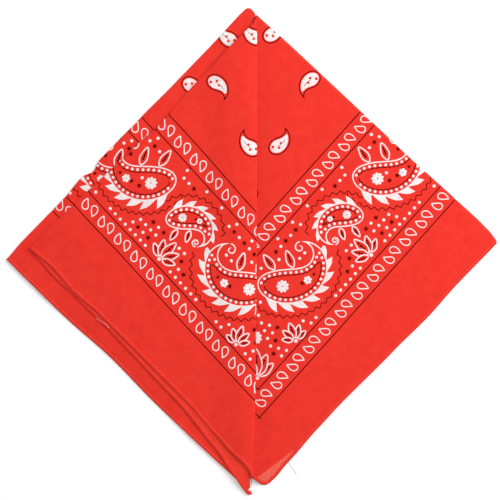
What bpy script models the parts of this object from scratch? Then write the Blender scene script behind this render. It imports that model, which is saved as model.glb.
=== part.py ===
"""A printed cotton bandana, folded in quarters and lying flat.

The square of cloth is folded twice, so four layers lie on each other: the bottom layer, the third layer,
the second layer and the front. The loose corners point to -Y and the middle of the cloth to +Y. The
front has a long narrow pleat down its diagonal, where its left half rolls over and lies on its right
half. The layers are a little askew, so the third layer shows along the left, and a strip of the second
layer, wrong side up, between its hem and the front's.

Metres, +Z up. The origin is the middle of the footprint, on the floor.
"""

import math
from collections import namedtuple

import bmesh
import bpy
from mathutils import Vector

MM = 0.001

# Driving dimensions, in metres.
WALL = 1.0 * MM  # one layer of cloth
GAP = 0.3 * MM  # between pieces that touch
PITCH = WALL + GAP  # from one layer to the next
HEM_WIDTH = 3.0 * MM
TUCK = 4.0 * MM  # how far a folded edge goes on under itself
STEP = 13.0 * MM  # spacing of the points along an edge
RAMP = 12.0 * MM  # length over which a folded edge opens out near a corner
SPLIT_X = 0.0  # right of this the middle layers are part of the core

# Heights of the middle of each layer.
BOTTOM_Z = WALL / 2
THIRD_Z = BOTTOM_Z + PITCH
SECOND_Z = THIRD_Z + PITCH
FRONT_Z = SECOND_Z + PITCH

# The pleat: its left half stands two layers up, and comes down again over the shoulder.
PLEAT_LEAST = 1.0 * MM
PLEAT_MOST = 14.0 * MM
PLEAT_RISE = 2 * PITCH
PLEAT_SHOULDER = 30.0 * MM
PLEAT_FLAT = 5.0 * MM  # beyond the hidden fold, before the shoulder begins
PLEAT_LOW_Y, PLEAT_TOP_Y = -178 * MM, 187 * MM
PLEAT_OPEN_Y = -142 * MM  # below this the pleat thins from two layers to one
PLEAT_CLOSING = 30.0 * MM  # over this length
PLEAT_LINE_X = 2.5 * MM

# Where single cloth hangs over the edge of the stack down to the floor.
CORNER_SHOULDER = ((36.1, -153.5), (4.1, -177.6))
CORNER_DROP, CORNER_RUN = 3.5 * MM, 10.0 * MM
TONGUE_SHOULDER = ((-13.0, -181.0), (2.0, -180.0))
TONGUE_DROP, TONGUE_RUN = 2.3 * MM, 10.0 * MM

# One row says how far an edge bows outwards, in millimetres, at a share of the way along it.
Bow = namedtuple("Bow", "share out")
# A side of a stretch of cloth: its points, and how its edge folds under.
Side = namedtuple("Side", "points drop tuck")

# Corners and short bends, in millimetres, each stretch anticlockwise seen from above.
FRONT_LEFT_TOP = ((3.4, 184.5), (1.5, 179.5), (-3.5, 174.8))
FRONT_LEFT_FOLD = ((-7.9, 171.1), (-175.8, 2.5))
FRONT_LEFT_FOLD_BOWS = (
    Bow(0.20, -1.0),
    Bow(0.42, -3.9),
    Bow(0.50, -2.4),
    Bow(0.63, -1.6),
    Bow(0.75, -0.8),
    Bow(0.93, 0.5),
)
FRONT_LEFT_HEM = ((-175.8, 2.5), (-18.8, -155.8))
FRONT_LEFT_HEM_BOWS = (
    Bow(0.10, -2.0),
    Bow(0.22, -0.5),
    Bow(0.34, -2.4),
    Bow(0.47, -2.5),
    Bow(0.77, -2.7),
    Bow(0.95, -0.5),
)
FRONT_LEFT_CURL = (
    (-18.8, -155.8),
    (-12.6, -159.0),
    (-7.4, -162.6),
    (-4.3, -168.4),
    (-2.4, -172.6),
    (-1.3, -177.5),
)
CURL_IN_PANEL = 2  # bends of the curl that the panel still reaches, above the narrow end of the hem
PLEAT_FOOT = ((0.9, -163.0),)
PLEAT_EDGE = ((2.1, -138.0), (3.0, -105.0), (3.2, -60.0), (3.8, 20.0), (4.0, 110.0), (4.0, 168.0))

FRONT_RIGHT_CORNER = (
    (-1.1, -178.9),
    (1.2, -179.3),
    (4.1, -181.6),
    (7.0, -183.9),
    (10.4, -184.7),
    (13.8, -183.2),
)
FRONT_RIGHT_HEM = ((17.3, -180.2), (194.0, 7.6))
FRONT_RIGHT_HEM_BOWS = (
    Bow(0.07, -1.2),
    Bow(0.20, -2.8),
    Bow(0.30, -3.0),
    Bow(0.54, -1.2),
    Bow(0.69, 0.2),
    Bow(0.81, -0.7),
)
FRONT_RIGHT_FOLD = ((193.0, 9.0), (3.6, 186.9))
FRONT_RIGHT_FOLD_BOWS = (
    Bow(0.04, 1.4),
    Bow(0.09, 1.8),
    Bow(0.18, 1.5),
    Bow(0.37, 0.6),
    Bow(0.57, 0.8),
    Bow(0.84, 0.7),
)
FRONT_RIGHT_TUCKED_TOP = ((1.5, 180.0), (-5.0, 170.0))

THIRD_TOP = ((0.0, 176.0), (0.6, 189.4), (-2.4, 192.3), (-5.6, 191.9))
THIRD_FOLD = ((-9.0, 187.9), (-194.0, -6.3))
THIRD_FOLD_BOWS = (
    Bow(0.11, -0.5),
    Bow(0.29, -0.2),
    Bow(0.42, 0.6),
    Bow(0.60, 1.1),
    Bow(0.635, -1.6),
    Bow(0.67, 1.9),
    Bow(0.75, 0.5),
    Bow(0.93, 0.9),
)
THIRD_HEM = ((-194.0, -6.3), (-12.6, -179.8))
THIRD_HEM_BOWS = (Bow(0.08, 0.5), Bow(0.26, 1.1), Bow(0.45, -0.7), Bow(0.66, 1.1), Bow(0.80, 0.8))

SECOND_HEM = ((-171.0, -3.8), (-12.6, -179.1))
SECOND_HEM_BOWS = (
    Bow(0.09, 0.3),
    Bow(0.20, -2.0),
    Bow(0.36, -4.0),
    Bow(0.50, -4.7),
    Bow(0.70, -5.9),
    Bow(0.87, -3.5),
)
SECOND_TONGUE = ((-12.6, -179.1), (-7.6, -187.0), (-4.6, -191.0), (-1.6, -192.4), (0.8, -191.2))
SECOND_END = ((-6.0, -183.0), (-3.0, -183.6), (-1.9, -179.5), (0.0, -175.0))

# The core: the sides of its three layers, as straight lines, and how far each layer stays inside them.
CORE_CENTRE = (60.0, 0.0)
CORE_RAYS = 40
CORE_RAY_GAP = math.radians(2.0)
CORE_GROOVE = 1.2 * MM
CORE_ROUND = 0.3 * MM
CoreSide = namedtuple("CoreSide", "line bottom middle upper")
CORE_SIDES = (
    CoreSide(THIRD_FOLD, 8.0, None, None),
    CoreSide(THIRD_HEM, 4.5, None, None),
    CoreSide(((-12.0, -176.5), (6.0, -176.5)), 0.5, 0.8, 0.0),
    CoreSide((CORNER_SHOULDER[1], CORNER_SHOULDER[0]), 0.3, 0.8, 0.3),
    CoreSide(FRONT_RIGHT_HEM, 5.8, 5.0, 4.4),
    CoreSide(FRONT_RIGHT_FOLD, 7.2, 2.3, 2.3),
    CoreSide(((172.0, -20.0), (172.0, 20.0)), 0.0, 0.0, 0.0),
    CoreSide(((20.0, 172.0), (-20.0, 172.0)), 0.0, 0.0, 0.0),
    CoreSide(((0.0, 200.0), (0.0, -200.0)), None, 0.3, 0.3),
)

# Shared colours, as linear RGB.
CLOTH_COLOUR = (0.83, 0.026, 0.020)
WRONG_SIDE_COLOUR = (0.78, 0.050, 0.035)
CORE_COLOUR = (0.60, 0.018, 0.016)
HEM_COLOUR = (0.72, 0.020, 0.018)


def clear_scene():
    for existing in list(bpy.data.objects):
        bpy.data.objects.remove(existing, do_unlink=True)


def make_collection(name):
    made = bpy.data.collections.new(name)
    bpy.context.scene.collection.children.link(made)
    return made


def make_material(name, colour, roughness):
    made = bpy.data.materials.new(name)
    made.use_nodes = True
    made.diffuse_color = (*colour, 1.0)
    shader = made.node_tree.nodes["Principled BSDF"]
    shader.inputs["Base Color"].default_value = (*colour, 1.0)
    shader.inputs["Roughness"].default_value = roughness
    shader.inputs["Metallic"].default_value = 0.0
    return made


def metres(points):
    """Points given in millimetres, as 2D vectors in metres."""
    return [Vector((x * MM, y * MM)) for x, y in points]


def smoothstep(value):
    share = min(max(value, 0.0), 1.0)
    return share * share * (3 - 2 * share)


def outward(start, end):
    """The unit normal to the right of a line, which points out of an anticlockwise outline."""
    along = (end - start).normalized()
    return Vector((along.y, -along.x))


def beyond(line, point):
    """How far a point lies outwards of a line of two points in millimetres."""
    start, end = metres(line)
    return (point - start).dot(outward(start, end))


def bow_at(bows, share):
    """The bow at this share of an edge, eased from row to row and nothing at its ends."""
    rows = [Bow(0.0, 0.0), *bows, Bow(1.0, 0.0)]
    for before, after in zip(rows, rows[1:]):
        if share <= after.share:
            eased = smoothstep((share - before.share) / (after.share - before.share))
            return (before.out + (after.out - before.out) * eased) * MM
    return 0.0


def edge(ends, bows=()):
    """Points along an edge, both ends included, spaced about STEP and bowed by the table."""
    start, end = metres(ends)
    count = max(2, round((end - start).length / STEP))
    side = outward(start, end)
    shares = [index / count for index in range(count + 1)]
    return [start.lerp(end, share) + side * bow_at(bows, share) for share in shares]


def normals_out(points):
    """The outward normal at each point of an open path."""
    found = []
    for index in range(len(points)):
        before = points[max(index - 1, 0)]
        after = points[min(index + 1, len(points) - 1)]
        found.append(outward(before, after))
    return found


def moved_in(points, distance):
    return [point - side * distance for point, side in zip(points, normals_out(points))]


def side_weights(points):
    """How far a folded side is folded at each of its points: open at its ends, whole beyond the ramp."""
    run = [0.0]
    for before, after in zip(points, points[1:]):
        run.append(run[-1] + (after - before).length)
    return [smoothstep(min(here, run[-1] - here) / RAMP) for here in run]


def plain_section(count):
    """(inset, rise) round the edge of one layer, from its upper face to its lower face."""
    radius = WALL / 2
    angles = [math.pi / 2 - math.pi * index / (count - 1) for index in range(count)]
    return [(radius * (1 - math.cos(a)), radius * math.sin(a)) for a in angles]


OUTER_ARC, INNER_ARC = 5, 3
SECTION_POINTS = OUTER_ARC + 2 + INNER_ARC


def folded_section(drop, tuck):
    """(inset, rise) round an edge that turns down by drop and goes on under itself by tuck."""
    depth = abs(drop)
    outer, inner = (depth + WALL) / 2, (depth - WALL) / 2
    arc = []
    for index in range(OUTER_ARC):
        angle = math.pi / 2 - math.pi * index / (OUTER_ARC - 1)
        arc.append((outer * (1 - math.cos(angle)), outer * math.sin(angle) - depth / 2))
    end = [(outer + tuck, -depth - WALL / 2), (outer + tuck, -depth + WALL / 2)]
    back = []
    for index in range(INNER_ARC):
        angle = -math.pi / 2 + math.pi * index / (INNER_ARC - 1)
        back.append((outer - inner * math.cos(angle), inner * math.sin(angle) - depth / 2))
    section = arc + end + back
    if drop < 0:
        section = [(inset, -rise) for inset, rise in reversed(section)]
    return section


def edge_sections(sides):
    """(point, section) right round an outline, each side's fold opening out towards its corners."""
    flat = plain_section(SECTION_POINTS)
    found = []
    for side in sides:
        for point, weight in zip(side.points, side_weights(side.points)):
            section = flat
            if side.drop and weight:
                folded = folded_section(side.drop, side.tuck(point))
                section = [
                    (a[0] + (b[0] - a[0]) * weight, a[1] + (b[1] - a[1]) * weight)
                    for a, b in zip(flat, folded)
                ]
            found.append((point, section))
    return found


def link(name, mesh, material, collection):
    mesh.materials.append(material)
    made = bpy.data.objects.new(name, mesh)
    collection.objects.link(made)
    return made


def mesh_from(name, shape):
    bmesh.ops.triangulate(shape, faces=shape.faces[:])
    made = bpy.data.meshes.new(name)
    shape.to_mesh(made)
    shape.free()
    return made


def bridge_rings(shape, rings):
    """Quads between rings of the same length, and a cap on the first (top) and the last (bottom)."""
    count = len(rings[0])
    for upper, lower in zip(rings, rings[1:]):
        for index in range(count):
            after = (index + 1) % count
            shape.faces.new((upper[index], lower[index], lower[after], upper[after]))
    shape.faces.new(rings[0])
    shape.faces.new(list(reversed(rings[-1])))


def cloth_wall(name, sides, height, material, collection, bends=(), lift=None):
    """One layer of cloth with rounded or folded edges, bent along its bends over what it lies on."""
    sections = edge_sections(sides)
    points = [point for point, _ in sections]
    count = len(points)
    shape = bmesh.new()
    rings = [[] for _ in range(SECTION_POINTS)]
    for index, (point, section) in enumerate(sections):
        side = outward(points[index - 1], points[(index + 1) % count])
        for ring, (inset, rise) in zip(rings, section):
            place = point - side * inset
            ring.append(shape.verts.new((place.x, place.y, height + rise)))
    bridge_rings(shape, rings)
    for line in bends:
        start, end = metres(line)
        across = outward(start, end)
        geometry = shape.verts[:] + shape.edges[:] + shape.faces[:]
        bmesh.ops.bisect_plane(
            shape, geom=geometry, dist=1e-6, plane_co=(start.x, start.y, 0), plane_no=(across.x, across.y, 0)
        )
    bmesh.ops.triangulate(shape, faces=shape.faces[:])
    raise_points(shape, lift)
    return link(name, mesh_from(name, shape), material, collection)


def raise_points(shape, lift):
    if lift:
        for vert in shape.verts:
            vert.co.z += lift(vert.co.x, vert.co.y)


def hem_band(name, path, height, material, collection, lift=None):
    """A turned hem: a flat rounded band just inside the path, which is its outer edge."""
    half_width, half_height = HEM_WIDTH / 2, WALL / 2
    angles = [math.radians(degrees) for degrees in (-90, -30, 30, 90, 90, 150, 210, 270)]
    section = []
    for index, angle in enumerate(angles):
        centre = (half_width - half_height) * (1 if index < len(angles) / 2 else -1)
        section.append((centre + half_height * math.cos(angle), half_height * math.sin(angle)))
    shape = bmesh.new()
    rings = []
    for point, side in zip(path, normals_out(path)):
        middle = point - side * half_width
        ring = [shape.verts.new((*(middle + side * across), height + rise)) for across, rise in section]
        rings.append(ring)
    bridge_rings(shape, rings)
    raise_points(shape, lift)
    bmesh.ops.recalc_face_normals(shape, faces=shape.faces[:])
    return link(name, mesh_from(name, shape), material, collection)


def shifted(ends, distance):
    """A line of two points in millimetres, moved inwards by a distance in millimetres."""
    start, end = metres(ends)
    inwards = outward(start, end) * -distance * MM
    return start + inwards, end + inwards


def crossing(first, second):
    """Where two lines, each of two points, cross."""
    start, end = first
    side = outward(*second)
    share = (second[0] - start).dot(side) / (end - start).dot(side)
    return start.lerp(end, share)


def radius_of(lines, angle):
    """How far a ray from the core's centre goes before it leaves the outline that these lines bound."""
    centre = metres([CORE_CENTRE])[0]
    ray = Vector((math.cos(angle), math.sin(angle)))
    reach = []
    for start, end in lines:
        side = outward(start, end)
        speed = ray.dot(side)
        if speed > 1e-6:
            reach.append((start - centre).dot(side) / speed)
    return min(reach)


def core_angles(layers):
    """A ray to each corner of each layer, and even rays wherever no corner is near."""
    centre = metres([CORE_CENTRE])[0]
    to_corners = set()
    for lines in layers:
        for first, second in zip(lines, lines[1:] + lines[:1]):
            corner = crossing(first, second) - centre
            to_corners.add(math.atan2(corner.y, corner.x) % math.tau)
    even = [math.tau * index / CORE_RAYS for index in range(CORE_RAYS)]
    between = [a for a in even if min(abs(a - corner) for corner in to_corners) > CORE_RAY_GAP]
    return sorted(to_corners | set(between))


def folded_core(material, collection):
    """The bottom layer and the hidden halves of the middle layers, one solid with grooves between them."""
    layers = []
    for level in ("bottom", "middle", "upper"):
        rows = [(side.line, getattr(side, level)) for side in CORE_SIDES]
        layers.append([shifted(line, inset) for line, inset in rows if inset is not None])
    angles = core_angles(layers)
    reach = [[radius_of(lines, angle) for angle in angles] for lines in layers]
    rings = []

    def ring(radii, inset, height):
        rings.append([(radius - inset, height) for radius in radii])

    for index, radii in enumerate(reach):
        low = index * PITCH
        ring(radii, CORE_ROUND, low)
        ring(radii, 0.0, low + CORE_ROUND)
        ring(radii, 0.0, low + WALL - CORE_ROUND)
        ring(radii, CORE_ROUND, low + WALL)
        if index + 1 < len(reach):
            both = [min(a, b) for a, b in zip(radii, reach[index + 1])]
            ring(radii, CORE_GROOVE, low + WALL)
            ring(both, CORE_GROOVE + CORE_ROUND, low + WALL)
            ring(reach[index + 1], CORE_GROOVE, low + PITCH)
    centre = metres([CORE_CENTRE])[0]
    shape = bmesh.new()
    made = []
    for row in reversed(rings):
        places = [centre + Vector((math.cos(a), math.sin(a))) * r for a, (r, _) in zip(angles, row)]
        made.append([shape.verts.new((*place, height)) for place, (_, height) in zip(places, row)])
    bridge_rings(shape, made)
    return link("folded_core", mesh_from("folded_core", shape), material, collection)


def pleat_depth(y):
    """How far the front's left half is turned under at this height up the cloth."""
    share = (y - PLEAT_LOW_Y) / (PLEAT_TOP_Y - PLEAT_LOW_Y)
    return PLEAT_LEAST + (PLEAT_MOST - PLEAT_LEAST) * min(max(share, 0.0), 1.0)


def pleat_lift(x, y):
    """How far the front's left half stands above the second layer, over the hidden folds of the pleat."""
    flat = pleat_depth(y) + PLEAT_FLAT
    share = (PLEAT_LINE_X - x - flat) / PLEAT_SHOULDER
    height = PITCH + (PLEAT_RISE - PITCH) * smoothstep((y - PLEAT_OPEN_Y) / PLEAT_CLOSING + 1)
    return height * (1 - smoothstep(share))


def corner_lift(x, y):
    """The front's corner hangs over the edge of the stack."""
    return -CORNER_DROP * smoothstep(beyond(reversed(CORNER_SHOULDER), Vector((x, y))) / CORNER_RUN)


def tongue_lift(x, y):
    """The second layer's corner hangs over the edge of the stack."""
    return -TONGUE_DROP * smoothstep(beyond(TONGUE_SHOULDER, Vector((x, y))) / TONGUE_RUN)


def pleat_bends():
    """Lines down the pleat's shoulder, so that the cloth can curve there."""
    rows = 6
    top, low = PLEAT_TOP_Y, PLEAT_LOW_Y
    found = []
    for index in range(rows + 1):
        run = PLEAT_FLAT + PLEAT_SHOULDER * index / rows
        ends = [(PLEAT_LINE_X - pleat_depth(y) - run, y) for y in (top, low)]
        found.append([(x / MM, y / MM) for x, y in ends])
    for share in (0.0, 0.35, 0.7):
        height = (PLEAT_OPEN_Y - share * PLEAT_CLOSING) / MM
        found.append([(-200.0, height), (20.0, height)])
    return found


def hang_bends(line, run):
    """Lines beside an edge of the stack, so that the cloth can hang over it."""
    found = []
    for share in (0.0, 0.25, 0.5, 0.75):
        start, end = shifted(line, -share * run / MM)
        found.append([(start.x / MM, start.y / MM), (end.x / MM, end.y / MM)])
    return found


def no_tuck(_point):
    return 0.0


def even_tuck(_point):
    return TUCK


def front_left(cloth, hem_cloth, collection):
    """The front's left half, rolled over at the pleat, with its hem."""
    fold = edge(FRONT_LEFT_FOLD, FRONT_LEFT_FOLD_BOWS)
    under_pleat = [point for point in fold if point.x > -2 * PLEAT_SHOULDER]
    folded = [point for point in fold if point.x <= -2 * PLEAT_SHOULDER]
    hem = edge(FRONT_LEFT_HEM, FRONT_LEFT_HEM_BOWS)[:-1] + metres(FRONT_LEFT_CURL)
    hem_in = moved_in(hem, HEM_WIDTH + GAP)
    straight = len(hem) - len(FRONT_LEFT_CURL)
    sides = (
        Side(metres(FRONT_LEFT_TOP) + under_pleat, 0.0, no_tuck),
        Side(folded, PITCH, even_tuck),
        Side(hem_in[: straight + CURL_IN_PANEL], 0.0, no_tuck),
        Side(metres(PLEAT_FOOT), 0.0, no_tuck),
        Side(densified(metres(PLEAT_EDGE)), PITCH, lambda point: pleat_depth(point.y)),
    )
    cloth_wall("front_left", sides, FRONT_Z, cloth, collection, pleat_bends(), pleat_lift)
    hem_band("front_left_hem", hem, FRONT_Z, hem_cloth, collection, pleat_lift)


def densified(points):
    """The same path with points about STEP apart."""
    found = []
    for before, after in zip(points, points[1:]):
        count = max(1, round((after - before).length / (2 * STEP)))
        found += [before.lerp(after, index / count) for index in range(count)]
    return found + [points[-1]]


def front_right(cloth, hem_cloth, collection):
    """The front's right half, folded over at the upper right and tucked under the pleat at its left."""
    lip = (PITCH + WALL) / 2
    hidden = []
    for point in densified(metres(PLEAT_EDGE)):
        if point.y < FRONT_RIGHT_TUCKED_TOP[1][1] * MM - RAMP:
            hidden.append(Vector((point.x - pleat_depth(point.y) - 2 * lip - 2 * GAP, point.y)))
    hem = metres(FRONT_RIGHT_CORNER) + edge(FRONT_RIGHT_HEM, FRONT_RIGHT_HEM_BOWS)
    hem_in = moved_in(hem, HEM_WIDTH + GAP)
    sides = (
        Side(metres(FRONT_RIGHT_TUCKED_TOP), 0.0, no_tuck),
        Side(list(reversed(hidden)), -PITCH, no_tuck),
        Side(hem_in, 0.0, no_tuck),
        Side(edge(FRONT_RIGHT_FOLD, FRONT_RIGHT_FOLD_BOWS), FRONT_Z - BOTTOM_Z, even_tuck),
    )
    bends = hang_bends(tuple(reversed(CORNER_SHOULDER)), CORNER_RUN)
    cloth_wall("front_right", sides, FRONT_Z, cloth, collection, bends, corner_lift)
    hem_band("front_right_hem", hem, FRONT_Z, hem_cloth, collection, corner_lift)


def second_layer(cloth, hem_cloth, collection):
    """The left half of the second layer, wrong side up, with its hem and the lowest tip."""
    hem = edge(SECOND_HEM, SECOND_HEM_BOWS)[:-1] + metres(SECOND_TONGUE)
    hem_in = moved_in(hem, HEM_WIDTH + GAP)
    straight = len(hem) - len(SECOND_TONGUE)
    inset = ((PITCH + WALL) / 2 + TUCK + 2 * GAP) / MM - min(row.out for row in FRONT_LEFT_FOLD_BOWS)
    start, _ = shifted(FRONT_LEFT_FOLD, inset)
    sides = (
        Side([Vector((SPLIT_X, start.y)), start], 0.0, no_tuck),
        Side(hem_in[: straight + 1], 0.0, no_tuck),
        Side(metres(SECOND_END), 0.0, no_tuck),
    )
    bends = hang_bends(TONGUE_SHOULDER, TONGUE_RUN)
    cloth_wall("second_layer", sides, SECOND_Z, cloth, collection, bends, tongue_lift)
    hem_band("second_layer_hem", hem, SECOND_Z, hem_cloth, collection, tongue_lift)


def third_layer(cloth, hem_cloth, collection):
    """The left half of the third layer, folded under at the upper left, with its hem."""
    hem = edge(THIRD_HEM, THIRD_HEM_BOWS)
    hem_in = moved_in(hem, HEM_WIDTH + GAP)
    sides = (
        Side(metres(THIRD_TOP), 0.0, no_tuck),
        Side(edge(THIRD_FOLD, THIRD_FOLD_BOWS)[:-1], PITCH, even_tuck),
        Side(hem_in + [Vector((SPLIT_X, hem_in[-1].y))], 0.0, no_tuck),
    )
    cloth_wall("third_layer", sides, THIRD_Z, cloth, collection)
    hem_band("third_layer_hem", hem, THIRD_Z, hem_cloth, collection)


def build():
    clear_scene()
    collection = make_collection("folded_bandana")
    cloth = make_material("printed_cotton", CLOTH_COLOUR, 0.85)
    wrong_side = make_material("cotton_wrong_side", WRONG_SIDE_COLOUR, 0.88)
    hidden = make_material("cotton_hidden_layers", CORE_COLOUR, 0.88)
    hem_cloth = make_material("cotton_hem", HEM_COLOUR, 0.85)
    folded_core(hidden, collection)
    third_layer(cloth, hem_cloth, collection)
    second_layer(wrong_side, hem_cloth, collection)
    front_right(cloth, hem_cloth, collection)
    front_left(cloth, hem_cloth, collection)


build()
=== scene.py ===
# %% [markdown]
# # A folded cotton bandana
# The real thing is one square of thin plain-weave cotton, about 55 cm a side. It was
# dyed red, then printed in white and in black, and its four edges were turned in
# narrow hems. Here it lies folded in quarters, flat on a table, with a deep pleat down
# the middle of its top layer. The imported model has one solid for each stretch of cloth.
# This lesson builds each stretch again as a thin sheet, printed, hemmed and softly
# uneven, in the place of its solid.

import math
import random

import bmesh
import bpy
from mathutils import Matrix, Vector, noise
from mathutils.geometry import delaunay_2d_cdt


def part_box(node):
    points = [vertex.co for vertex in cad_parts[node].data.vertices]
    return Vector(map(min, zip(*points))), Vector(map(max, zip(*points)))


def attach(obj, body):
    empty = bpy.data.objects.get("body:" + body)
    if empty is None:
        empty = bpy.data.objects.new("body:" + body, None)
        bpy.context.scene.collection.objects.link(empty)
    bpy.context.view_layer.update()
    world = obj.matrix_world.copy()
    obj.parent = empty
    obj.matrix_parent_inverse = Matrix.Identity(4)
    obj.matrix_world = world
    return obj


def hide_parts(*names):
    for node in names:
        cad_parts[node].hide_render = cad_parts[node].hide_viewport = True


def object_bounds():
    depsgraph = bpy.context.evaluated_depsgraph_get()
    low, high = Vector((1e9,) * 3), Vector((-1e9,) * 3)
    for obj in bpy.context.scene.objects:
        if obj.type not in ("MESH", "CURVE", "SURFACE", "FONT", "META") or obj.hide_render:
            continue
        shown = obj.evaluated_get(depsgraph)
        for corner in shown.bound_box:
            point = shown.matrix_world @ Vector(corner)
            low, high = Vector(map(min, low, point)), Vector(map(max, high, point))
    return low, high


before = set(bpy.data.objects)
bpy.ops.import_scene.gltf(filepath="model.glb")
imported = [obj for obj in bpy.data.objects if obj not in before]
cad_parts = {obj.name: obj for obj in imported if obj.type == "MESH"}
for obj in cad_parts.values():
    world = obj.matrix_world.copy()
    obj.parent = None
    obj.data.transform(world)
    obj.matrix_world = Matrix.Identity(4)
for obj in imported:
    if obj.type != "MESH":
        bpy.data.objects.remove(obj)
cad_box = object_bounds()
scene = bpy.context.scene
print("nodes:", sorted(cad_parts))

# %% [markdown]
# ## Sizes
# Everything is worked out in millimetres, because cloth and print are small, and
# turned to metres when a mesh is made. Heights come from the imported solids: each layer
# of the stack stands one pitch above the layer below it. The cloth is really a quarter
# of a millimetre thick. It is drawn a little thicker so that its folded edges hold
# together in a render.

# %% Sizes and heights
MM = 0.001
CLOTH = 0.45  # drawn thickness of one layer of cloth
third_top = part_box("third_layer")[1].z / MM
second_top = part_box("second_layer")[1].z / MM
pitch = second_top - third_top
front_top = second_top + pitch
ridge_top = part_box("front_left")[1].z / MM
FLOOR_GAP = 0.1  # between the lowest cloth and the floor
print(f"layers top out at {third_top:.1f}, {second_top:.1f}, {front_top:.1f} and {ridge_top:.1f} mm")


def eased(value):
    """0 below 0, 1 above 1, and a smooth step between."""
    value = min(max(value, 0.0), 1.0)
    return value * value * (3 - 2 * value)


# %% [markdown]
# ## Edges of the folded stack
# Each stretch of cloth is bounded by folds and hems. None is quite straight, so an edge
# is two ends and a short table of bows, each a share of the way along and how far out
# the cloth stands there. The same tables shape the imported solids, and the print at the
# end of the next cell compares the two.

# %% Edge tables, in millimetres
FRONT_LEFT_FOLD = ((-7.9, 171.1), (-175.8, 2.5))
FRONT_LEFT_FOLD_BOWS = ((0.20, -1.0), (0.42, -3.9), (0.50, -2.4), (0.63, -1.6), (0.75, -0.8), (0.93, 0.5))
FRONT_LEFT_HEM = ((-175.8, 2.5), (-18.8, -155.8))
FRONT_LEFT_HEM_BOWS = ((0.10, -2.0), (0.22, -0.5), (0.34, -2.4), (0.47, -2.5), (0.77, -2.7), (0.95, -0.5))
FRONT_LEFT_CURL = ((-18.8, -156.0), (-13.3, -161.0), (-8.9, -165.0), (-5.5, -168.5),
                   (-3.1, -171.5), (-1.6, -174.8), (-1.1, -178.2))
PLEAT_EDGE = ((0.0, -178.5), (0.9, -163.0), (2.1, -138.0), (3.0, -105.0), (3.2, -60.0),
              (3.8, 20.0), (4.0, 110.0), (4.0, 168.0), (3.4, 184.5))
FRONT_RIGHT_CORNER = ((-1.1, -178.9), (1.2, -179.3), (4.1, -181.6), (7.0, -183.9),
                      (10.4, -184.7), (13.8, -183.2))
FRONT_RIGHT_HEM = ((17.3, -180.2), (194.0, 7.6))
FRONT_RIGHT_HEM_BOWS = ((0.07, -1.2), (0.20, -2.8), (0.30, -3.0), (0.54, -1.2), (0.69, 0.2), (0.81, -0.7))
FRONT_RIGHT_FOLD = ((193.0, 9.0), (3.6, 186.9))
FRONT_RIGHT_FOLD_BOWS = ((0.04, 1.4), (0.09, 1.8), (0.18, 1.5), (0.37, 0.6), (0.57, 0.8), (0.84, 0.7))
THIRD_FOLD = ((-9.0, 187.9), (-194.0, -6.3))
THIRD_FOLD_BOWS = (
    (0.11, -0.5),
    (0.29, -0.2),
    (0.42, 0.6),
    (0.60, 1.1),
    (0.635, -1.6),
    (0.67, 1.9),
    (0.75, 0.5),
    (0.93, 0.9),
)
THIRD_HEM = ((-194.0, -6.3), (-12.6, -179.8))
THIRD_HEM_BOWS = ((0.08, 0.5), (0.26, 1.1), (0.45, -0.7), (0.66, 1.1), (0.80, 0.8))
SECOND_HEM = ((-171.0, -3.8), (-12.6, -179.1))
SECOND_HEM_BOWS = ((0.09, 0.3), (0.20, -2.0), (0.36, -4.0), (0.50, -4.7), (0.70, -5.9), (0.87, -3.5))
SECOND_TONGUE = ((-12.6, -179.1), (-7.6, -187.0), (-4.6, -191.0), (-1.6, -192.4), (0.8, -191.2))
CORNER_SHOULDER = ((4.1, -177.6), (36.1, -153.5))
TONGUE_SHOULDER = ((-13.0, -181.0), (2.0, -180.0))
HEM_WIDTH = 3.0
SHEET_IN = 1.2  # a sheet goes on under its hem band to here


def outward(ends):
    """The unit normal on the right-hand side of a line, which is outside an anticlockwise outline."""
    run = (Vector(ends[1]) - Vector(ends[0])).normalized()
    return Vector((run.y, -run.x))


def bow_at(bows, share):
    """How far out an edge stands at this share of its length."""
    stops = [(0.0, 0.0), *bows, (1.0, 0.0)]
    for (low, low_out), (high, high_out) in zip(stops, stops[1:]):
        if share <= high:
            return low_out + (high_out - low_out) * eased((share - low) / (high - low))
    return 0.0


def edge(ends, bows=(), spacing=2.5, out=0.0):
    """Points along a bowed edge, both ends included, moved out by a fixed distance."""
    start, end = Vector(ends[0]), Vector(ends[1])
    count = max(2, round((end - start).length / spacing))
    side = outward(ends)
    shares = [index / count for index in range(count + 1)]
    return [start.lerp(end, share) + side * (bow_at(bows, share) + out) for share in shares]


def past(ends, bows, point):
    """How far a point lies outside a bowed edge, and its share of the way along."""
    start, end = Vector(ends[0]), Vector(ends[1])
    run = end - start
    share = (point - start).dot(run) / run.length_squared
    away = (point - start).dot(outward(ends)) - bow_at(bows, min(max(share, 0.0), 1.0))
    return away, share


CHECKED = (("front_right", FRONT_RIGHT_FOLD), ("third_layer", THIRD_FOLD), ("second_layer_hem", SECOND_HEM))
for node, ends in CHECKED:
    low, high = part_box(node)
    reach = max(abs(c) for end in ends for c in end)
    solid_reach = max(abs(low.x), abs(high.x), abs(low.y), abs(high.y)) / MM
    print(f"{node}: edge reaches {reach:.1f} mm, solid {solid_reach:.1f} mm")

# %% [markdown]
# ## Drawing the print
# The print is a classic bandana pattern: rows of small drops between black lines, a
# wide border of paisleys, and a few single paisleys in the field. It could be a
# picture, but then it would blur close up. Here each figure is worked out by rule in
# millimetres, as a smooth line widened to a closed shape, so that the ink becomes part
# of the mesh and stays sharp at any distance. The next cells hold the drawing tools:
# a smooth line, its offset, a stroke, dots, waves, flowers and flames.

# %% Lines and strokes
BARE, WHITE, BLACK = 0, 1, 2


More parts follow.
